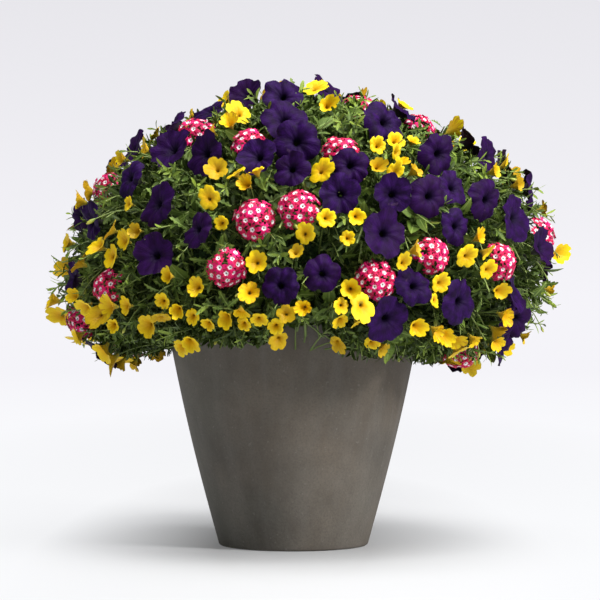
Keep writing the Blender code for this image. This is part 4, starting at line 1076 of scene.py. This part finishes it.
def soil():
    """The potting soil, crumbly on top and just inside the pot's wall."""
    rng = np.random.default_rng(SOIL_SEED)
    rings = np.linspace(float(pot_radius(SOIL_TOP)) - POT_WALL - 2 * FIT_GAP, 0.0, 40)
    low = POT_FLOOR + FIT_GAP
    outline = [(0.0, low), (float(pot_radius(low)) - POT_WALL - 2 * FIT_GAP, low)]
    outline += [(float(r), SOIL_TOP) for r in rings]
    crumbs = rng.normal(size=(len(outline), POT_SIDES + 1)) * 0.0007
    crumbs[:, -1] = crumbs[:, 0]
    crumbs[:2] = 0
    crumbs[2] = -0.001
    crumbs[-1] = 0

    def crumbled(points):
        points = points.copy()
        points[..., 2] += crumbs - 0.0012 * (points[..., 2] > SOIL_TOP - 0.001)
        return points

    piece = lathe(outline, POT_SIDES, "potting_soil_top", "soil", crumbled)
    finish_piece(piece, "potting_soil")


class Value:
    """What a shader node gives out, for sums with numbers, vectors and other values."""

    def __init__(self, tree, socket):
        self.tree = tree
        self.socket = socket

    def __add__(self, other):
        return self.tree.math("ADD", self, other)

    def __sub__(self, other):
        return self.tree.math("SUBTRACT", self, other)

    def __mul__(self, other):
        return self.tree.math("MULTIPLY", self, other)

    def __truediv__(self, other):
        return self.tree.math("DIVIDE", self, other)

    def __gt__(self, other):
        return self.tree.math("GREATER_THAN", self, other)

    def __lt__(self, other):
        return self.tree.math("LESS_THAN", self, other)

    def __abs__(self):
        return self.tree.math("ABSOLUTE", self)


class Nodes:
    """The nodes of a material or a world, with a short call for each kind that is used."""

    def __init__(self, tree):
        self.nodes = tree.nodes
        self.links = tree.links

    def join(self, value, socket):
        """Give a socket a value, or link it to a node's output."""
        if isinstance(value, Value):
            self.links.new(value.socket, socket)
        elif socket.type == "RGBA":
            socket.default_value = (*value, 1.0)
        else:
            socket.default_value = value

    def node(self, kind, inputs, output=0, **settings):
        """Add a node, fill in its inputs, and give the value of one of its outputs."""
        node = self.nodes.new("ShaderNode" + kind)
        for name, setting in settings.items():
            setattr(node, name, setting)
        for name, value in inputs.items():
            self.join(value, node.inputs[name])
        return Value(self, node.outputs[output])

    def math(self, operation, *values):
        """A sum of numbers, or one of vectors where any of the values is a vector."""
        kinds = [v.socket.type if isinstance(v, Value) else type(v).__name__ for v in values]
        vector = "VECTOR" in kinds or "tuple" in kinds
        kind = "VectorMath" if vector else "Math"
        output = "Value" if operation == "LENGTH" else 0
        return self.node(kind, dict(enumerate(values)), output, operation=operation)

    def separate(self, vector):
        """The three numbers of a vector."""
        first = self.node("SeparateXYZ", {0: vector})
        return [Value(self, socket) for socket in first.socket.node.outputs]

    def noise(self, vector, scale=1.0, detail=3.0, roughness=0.5):
        """Soft random greys over space."""
        inputs = {"Vector": vector, "Scale": scale, "Detail": detail, "Roughness": roughness}
        return self.node("TexNoise", inputs, "Fac")

    def chance(self, vector):
        """A random number that is the same wherever the vector is the same."""
        return self.node("TexWhiteNoise", {"Vector": vector}, "Value", noise_dimensions="3D")

    def ramp(self, value, *stops):
        """Colours or greys along a value."""
        node = self.nodes.new("ShaderNodeValToRGB")
        bar = node.color_ramp.elements
        while len(bar) < len(stops):
            bar.new(0.5)
        for element, (place, colour) in zip(bar, stops):
            element.position = place
            element.color = (*colour, 1.0) if isinstance(colour, tuple) else (colour, colour, colour, 1.0)
        self.join(value, node.inputs["Fac"])
        return Value(self, node.outputs["Color"])

    def mix(self, share, first, second):
        """A colour between two others."""
        return self.node("Mix", {0: share, 6: first, 7: second}, 2, data_type="RGBA")

    def tint(self, base, value, low, high, colour):
        """Lay a colour over the base, by a share that runs between two stops along a value."""
        return self.mix(self.ramp(value, low, high), base, colour)

    def blend(self, share, first, second, target):
        """Show two surfaces by shares in the node that the renderer reads."""
        mixed = self.node("MixShader", {0: share, 1: first, 2: second})
        self.join(mixed, self.nodes[target].inputs["Surface"])


class Shader(Nodes):
    """A material on a piece, with its map of cells."""

    def __init__(self, name, roughness, **sockets):
        self.material = bpy.data.materials.new(name)
        self.material.use_nodes = True
        super().__init__(self.material.node_tree)
        self.surface = self.nodes["Principled BSDF"]
        self.surface.inputs["Roughness"].default_value = roughness
        for socket, value in sockets.items():
            self.surface.inputs[socket.replace("_", " ")].default_value = value

    def finished(self, colour, relief, strength, distance):
        """The material, with its colour and its relief on the surface."""
        self.join(colour, self.surface.inputs["Base Color"])
        bump = self.node("Bump", {"Strength": strength, "Distance": distance, "Height": relief})
        self.join(bump, self.surface.inputs["Normal"])
        return self.material

    def place(self):
        """Where each point is, in metres."""
        return self.node("TexCoord", {}, "Object")

    def map_cell(self):
        """The map's cell, and the place in it from -0.5 to 0.5."""
        large = self.node("UVMap", {}, uv_map=UV_MAP) * (MAP_CELLS, MAP_CELLS, 1.0)
        inner = self.math("FRACTION", large) - (0.5, 0.5, 0.0)
        full = 1 / (1 - 2 * CELL_INSET)
        return self.math("FLOOR", large), inner * (full, full, 0.0)

    def polar(self, inner):
        """Distance from the middle of a disc, 0 to 1, and the angle round it."""
        x, y, _ = self.separate(inner)
        return self.math("LENGTH", inner) * 2.0, self.math("ARCTAN2", y, x)

    def stripes(self, along):
        """A wave along a value: 0 in the middle of each stripe, 0.5 between two."""
        return abs(self.math("FRACT", along) - 0.5)

    def veins(self, far, angle, cell, count, wander):
        """Lines that run out from the middle of a disc and part as they go."""
        place = {"X": angle * 2.0, "Y": far * 4.0, "Z": self.chance(cell) * 40.0}
        crooked = self.noise(self.node("CombineXYZ", place)) * wander
        return self.stripes(angle * (count / (2 * math.pi)) + crooked) * 2.0

    def two_sided(self, cell, front, back):
        """The front's colour, with the back's in the lowest row of the map's cells."""
        _, row, _ = self.separate(cell)
        return self.mix(row > 0.5, back, front)


def petunia_look():
    """Deep velvety purple, with darker veins, painted shade along the creases between the lobes, a
    near-black throat and duller backs.
    """
    look = Shader("petunia_petal", 0.6, Specular_IOR_Level=0.08, Sheen_Weight=0.03, Sheen_Roughness=0.3,
                  Sheen_Tint=(0.35, 0.16, 0.85, 1))
    cell, inner = look.map_cell()
    far, angle = look.polar(inner)
    fine = look.noise(inner, 26.0, 4.0, 0.6)
    broad = look.noise(inner * (5.0, 5.0, 0.0) + cell, 1.0, 2.0)
    veins = look.veins(far, angle, cell, 40, 3.0)
    painted_crease_shade = look.veins(far, angle, (0.0, 0.0, 0.0), LOBES, 0.0)
    petal = look.tint((0.007, 0.0012, 0.018), broad, (0.35, 0.0), (0.68, 1.0), (0.028, 0.004, 0.082))
    petal = look.tint(petal, look.chance(cell), (0.0, 0.0), (1.0, 0.5), (0.020, 0.002, 0.030))
    petal = look.tint(petal, veins, (0.0, 0.75), (0.35, 0.0), (0.010, 0.002, 0.030))
    # Painted shade: darker purple along the creases between the lobes
    petal = look.tint(petal, painted_crease_shade, (0.0, 0.55), (0.10, 0.0), (0.012, 0.002, 0.035))
    throat = look.ramp(far, (0.0, (0.10, 0.13, 0.02)), (0.06, (0.05, 0.06, 0.012)),
                       (0.10, (0.004, 0.0015, 0.010)), (0.22, (0.008, 0.002, 0.022)))
    front = look.tint(throat, far, (0.16, 0.0), (0.42, 1.0), petal)
    back = look.tint((0.036, 0.014, 0.052), veins, (0.0, 0.8), (0.5, 0.0), (0.014, 0.005, 0.026))
    back = look.tint(back, far, (0.15, 1.0), (0.5, 0.0), (0.05, 0.05, 0.04))
    return look.finished(look.two_sided(cell, front, back), veins * 0.6 + fine * 0.5, 0.35, 0.0006)


def calibrachoa_look():
    """Bright yellow with a warm orange-brown throat and fine veins."""
    look = Shader("calibrachoa_petal", 0.5, Specular_IOR_Level=0.2, Sheen_Weight=0.03, Sheen_Roughness=0.4)
    cell, inner = look.map_cell()
    far, angle = look.polar(inner)
    fine = look.noise(inner, 18.0, 3.0, 0.6)
    veins = look.veins(far, angle, cell, 25, 2.0)
    lines = look.ramp(veins, (0.0, 1.0), (0.45, 0.0)) * look.ramp(far, (0.2, 0.7), (0.62, 0.0))
    petal = look.tint((0.70, 0.385, 0.001), far, (0.30, 0.0), (0.85, 1.0), (0.86, 0.640, 0.004))
    petal = look.tint(petal, fine, (0.35, 0.5), (0.7, 0.0), (0.66, 0.43, 0.001))
    petal = look.tint(petal, look.chance(cell), (0.62, 0.0), (1.0, 0.75), (0.44, 0.27, 0.006))
    petal = look.mix(lines, petal, (0.58, 0.24, 0.002))
    throat = look.ramp(far, (0.03, (0.12, 0.050, 0.004)), (0.09, (0.30, 0.14, 0.005)),
                       (0.18, (0.54, 0.32, 0.004)))
    front = look.tint(throat, far, (0.12, 0.0), (0.28, 1.0), petal)
    back = look.tint((0.64, 0.38, 0.010), veins, (0.0, 0.6), (0.5, 0.0), (0.46, 0.23, 0.010))
    back = look.tint(back, far, (0.10, 0.8), (0.5, 0.0), (0.36, 0.34, 0.05))
    return look.finished(look.two_sided(cell, front, back), veins * 0.5 + fine, 0.25, 0.0004)


def verbena_look():
    """Crimson to magenta-pink petals round a white eye with a small green throat."""
    look = Shader("verbena_petal", 0.5, Specular_IOR_Level=0.2, Sheen_Weight=0.04, Sheen_Roughness=0.4)
    cell, inner = look.map_cell()
    far, angle = look.polar(inner)
    fine = look.noise(inner, 14.0, 3.0, 0.6)
    veins = look.veins(far, angle, cell, 30, 1.0)
    petal = look.tint((0.44, 0.003, 0.020), look.chance(cell), (0.0, 0.0), (1.0, 1.0), (0.72, 0.006, 0.150))
    petal = look.tint(petal, fine, (0.4, 0.0), (0.75, 0.5), (0.80, 0.02, 0.17))
    petal = look.tint(petal, veins, (0.0, 0.45), (0.4, 0.0), (0.34, 0.002, 0.030))
    uneven = look.noise(inner, 7.0) * 0.16 + far - 0.08
    eye = look.ramp(uneven, (0.0, (0.06, 0.09, 0.015)), (0.09, (0.16, 0.20, 0.05)),
                    (0.15, (0.88, 0.84, 0.84)), (0.34, (0.86, 0.76, 0.79)))
    front = look.tint(eye, uneven, (0.36, 0.0), (0.43, 1.0), petal)
    return look.finished(front, veins, 0.3, 0.0003)


def leaf_look():
    """Greens that differ from leaf to leaf, with a paler midrib and faint side veins; the pale leaves are
    partly painted light and the deep ones carry painted shade.
    """
    look = Shader("leaf_green", 0.52, Specular_IOR_Level=0.25)
    cell, inner = look.map_cell()
    x, y, _ = look.separate(inner)
    column, row, _ = look.separate(cell)
    aside = abs(x)
    mottle = look.noise(inner * (6.0, 9.0, 0.0) + cell, 1.0, 4.0, 0.6)
    lines = look.stripes((aside * -1.3 + y) * 8.0)
    # By row of cells: dark leaves, pale leaves that are partly painted light, and broad leaves
    green = look.ramp(row / (MAP_CELLS - 1.0), (0.33, (0.044, 0.084, 0.009)),
                      (0.66, (0.345, 0.465, 0.055)), (1.0, (0.085, 0.145, 0.018)))
    green = look.tint(green, look.chance(cell), (0.0, 0.0), (1.0, 0.7), (0.030, 0.062, 0.010))
    green = look.tint(green, mottle, (0.40, 0.0), (0.70, 0.55), (0.140, 0.215, 0.032))
    green = look.tint(green, lines, (0.0, 0.35), (0.12, 0.0), (0.160, 0.240, 0.050))
    green = look.tint(green, aside, (0.015, 0.8), (0.055, 0.0), (0.26, 0.36, 0.09))
    green = look.tint(green, y + 0.5, (0.45, 0.0), (1.0, 0.35), (0.240, 0.330, 0.045))
    # Painted shade: the two first dark cells, used by leaves deep in the mound, go most of the way to
    # near-black green
    deep = (row < 1.5) * (column < 1.5) * 0.60
    green = look.mix(deep, green, (0.010, 0.022, 0.003))
    look.join(mottle * 0.25 + 0.36, look.surface.inputs["Roughness"])
    return look.finished(green, lines * 1.2 + mottle, 0.35, 0.0005)


def stem_look():
    """Fresh green stems, paler towards the tip and slightly streaked."""
    look = Shader("stem_green", 0.5)
    _, inner = look.map_cell()
    _, y, _ = look.separate(inner)
    streak = look.noise(inner * (14.0, 3.0, 0.0))
    green = look.mix(y + 0.5, (0.100, 0.155, 0.028), (0.260, 0.340, 0.080))
    green = look.tint(green, streak, (0.4, 0.0), (0.7, 0.6), (0.090, 0.130, 0.030))
    return look.finished(green, streak, 0.3, 0.0003)


def bud_look():
    """Buds that go from green at the foot to pale yellow at the tip."""
    look = Shader("bud_pale", 0.45)
    _, inner = look.map_cell()
    far, angle = look.polar(inner)
    streak = look.noise(look.node("CombineXYZ", {"X": angle * 3.0, "Y": far}), 2.0, 2.0)
    bud = look.ramp(far, (0.1, (0.11, 0.20, 0.03)), (0.5, (0.34, 0.38, 0.05)), (1.0, (0.62, 0.56, 0.10)))
    bud = look.tint(bud, streak, (0.4, 0.0), (0.7, 0.5), (0.22, 0.28, 0.04))
    return look.finished(bud, streak, 0.3, 0.0003)


def painted_shade_look():
    """Painted shade: near-black greens with faint strands, for the shaded tangle of stems and leaves deep
    inside the mound.
    """
    look = Shader("painted_shade_inside", 0.8, Specular_IOR_Level=0.15)
    place = look.place()
    blotch = look.noise(place, 70.0, 5.0, 0.65)
    strand = look.noise(place * (160.0, 160.0, 60.0), 1.0, 4.0, 0.6)
    green = look.ramp(blotch, (0.30, (0.004, 0.009, 0.003)), (0.52, (0.012, 0.030, 0.007)),
                      (0.70, (0.030, 0.070, 0.014)))
    green = look.tint(green, strand, (0.50, 0.0), (0.66, 0.5), (0.045, 0.085, 0.02))
    return look.finished(green, blotch + strand, 1.0, 0.004)


def pot_look():
    """Matte grey-brown cast stone: soft patches, faint streaks down the wall, fine grain and pits."""
    look = Shader("pot_stone", 0.8, Specular_IOR_Level=0.3)
    place = look.place()
    patch = look.noise(place, 11.0, 5.0, 0.60)
    warm = look.noise(place + (3.0, 1.0, 2.0), 5.0, 3.0, 0.5)
    streak = look.noise(place * (38.0, 38.0, 3.0), 1.0, 4.0, 0.6)
    grain = look.noise(place, 420.0, 4.0, 0.7)
    speck = look.noise(place, 230.0, 2.0, 0.5)
    clay = look.ramp(patch, (0.32, (0.082, 0.075, 0.064)), (0.50, (0.114, 0.103, 0.087)),
                     (0.68, (0.158, 0.142, 0.120)))
    clay = look.tint(clay, warm, (0.42, 0.0), (0.68, 0.45), (0.132, 0.098, 0.068))
    clay = look.tint(clay, warm, (0.30, 0.40), (0.48, 0.0), (0.100, 0.106, 0.086))
    clay = look.tint(clay, streak, (0.42, 0.0), (0.72, 0.30), (0.185, 0.172, 0.155))
    clay = look.tint(clay, grain, (0.35, 0.35), (0.55, 0.0), (0.070, 0.064, 0.055))
    clay = look.tint(clay, speck, (0.66, 0.0), (0.74, 0.40), (0.20, 0.185, 0.165))
    look.join(patch * 0.25 + 0.66, look.surface.inputs["Roughness"])
    return look.finished(clay, grain * 0.35 + streak * 0.6 + speck, 0.30, 0.0010)


def soil_look():
    """Dark crumbly potting mix with pale flecks."""
    look = Shader("soil_mix", 0.95, Specular_IOR_Level=0.2)
    place = look.place()
    crumb = look.noise(place, 180.0, 6.0, 0.7)
    fleck = look.noise(place, 320.0, 2.0, 0.5)
    earth = look.ramp(crumb, (0.30, (0.010, 0.006, 0.004)), (0.55, (0.035, 0.022, 0.014)),
                      (0.75, (0.075, 0.050, 0.033)))
    earth = look.tint(earth, fleck, (0.72, 0.0), (0.76, 0.9), (0.55, 0.53, 0.49))
    return look.finished(earth, crumb, 1.0, 0.003)


def floor_look():
    """A pale floor that takes soft shadows near the pot and fades evenly into the backdrop."""
    look = Shader("floor_pale", 0.9, Specular_IOR_Level=0.1)
    look.join(FLOOR_COLOUR, look.surface.inputs["Base Color"])
    far = look.math("LENGTH", look.place() * (1.0, 1.0, 0.0)) / FLOOR_RADIUS
    even = look.ramp(look.math("LENGTH", look.place() * FADE_STRETCH), *FLOOR_FADE)
    glow = look.node("Emission", {"Color": look.ramp(far, (0.02, FLOOR_NEAR), (0.6, HORIZON))})
    look.blend(even, Value(look, look.surface.outputs[0]), glow, "Material Output")
    return look.material


def floor():
    """The studio floor, a wide flat disc under the pot."""
    patches = Patches()
    turns = circle(96)
    rings = np.array((0.0001, 0.5, 1.5, 4.0, FLOOR_RADIUS))
    frame_of = (np.array((1.0, 0, 0)), np.array((0, 1.0, 0)), np.array((0, 0, 1.0)))
    reach = np.repeat(rings[:, None], len(turns), axis=1)
    place = np.array((0.0, 0.0, -FLOOR_DROP))
    dish(patches, place, frame_of, turns, reach, reach * 0, rings / FLOOR_RADIUS, 0, "floor")
    patches.piece("studio_floor")


def backdrop():
    """A backdrop that darkens a little upwards, and an even soft light from all round."""
    world = bpy.data.worlds.new("studio")
    world.use_nodes = True
    bpy.context.scene.world = world
    sky = Nodes(world.node_tree)
    _, _, up = sky.separate(sky.node("TexCoord", {}, "Generated"))
    seen = sky.nodes["Background"]
    sky.join(sky.ramp(up, (0.0, HORIZON), (PICTURE_TOP, BACKDROP_TOP)), seen.inputs["Color"])
    ambient = sky.node("Background", {"Color": AMBIENT_COLOUR, "Strength": AMBIENT})
    camera_sees = sky.node("LightPath", {}, "Is Camera Ray")
    sky.blend(camera_sees, ambient, Value(sky, seen.outputs[0]), "World Output")


def soft_light(name, place, size, power, colour):
    """A square soft box that faces the mound."""
    light = bpy.data.lights.new(name, "AREA")
    light.size = size
    light.energy = power
    light.color = colour
    lamp = placed(name, light)
    lamp.location = place
    toward = Vector(LIGHTS_AIM) - Vector(place)
    lamp.rotation_euler = toward.to_track_quat("-Z", "Y").to_euler()


def studio():
    """Floor, backdrop, lights and the photo's camera."""
    floor()
    backdrop()
    for light in SOFT_LIGHTS:
        soft_light(*light)
    lens = bpy.data.cameras.new("camera")
    lens.lens = LENS_MM
    lens.sensor_width = SENSOR_MM
    camera = placed("camera", lens)
    camera.location = EYE
    camera.rotation_euler = (math.pi / 2, 0.0, 0.0)
    bpy.context.scene.camera = camera
    bpy.context.scene.view_settings.view_transform = "Standard"


LOOKS = {
    "petunia": petunia_look(),
    "calibrachoa": calibrachoa_look(),
    "verbena": verbena_look(),
    "leaf": leaf_look(),
    "stem": stem_look(),
    "bud": bud_look(),
    "shade": painted_shade_look(),
    "pot": pot_look(),
    "soil": soil_look(),
    "floor": floor_look(),
}

FLOWERS = place_blooms()

planter()
soil()
bloom_pieces()
foliage_pieces()
studio()
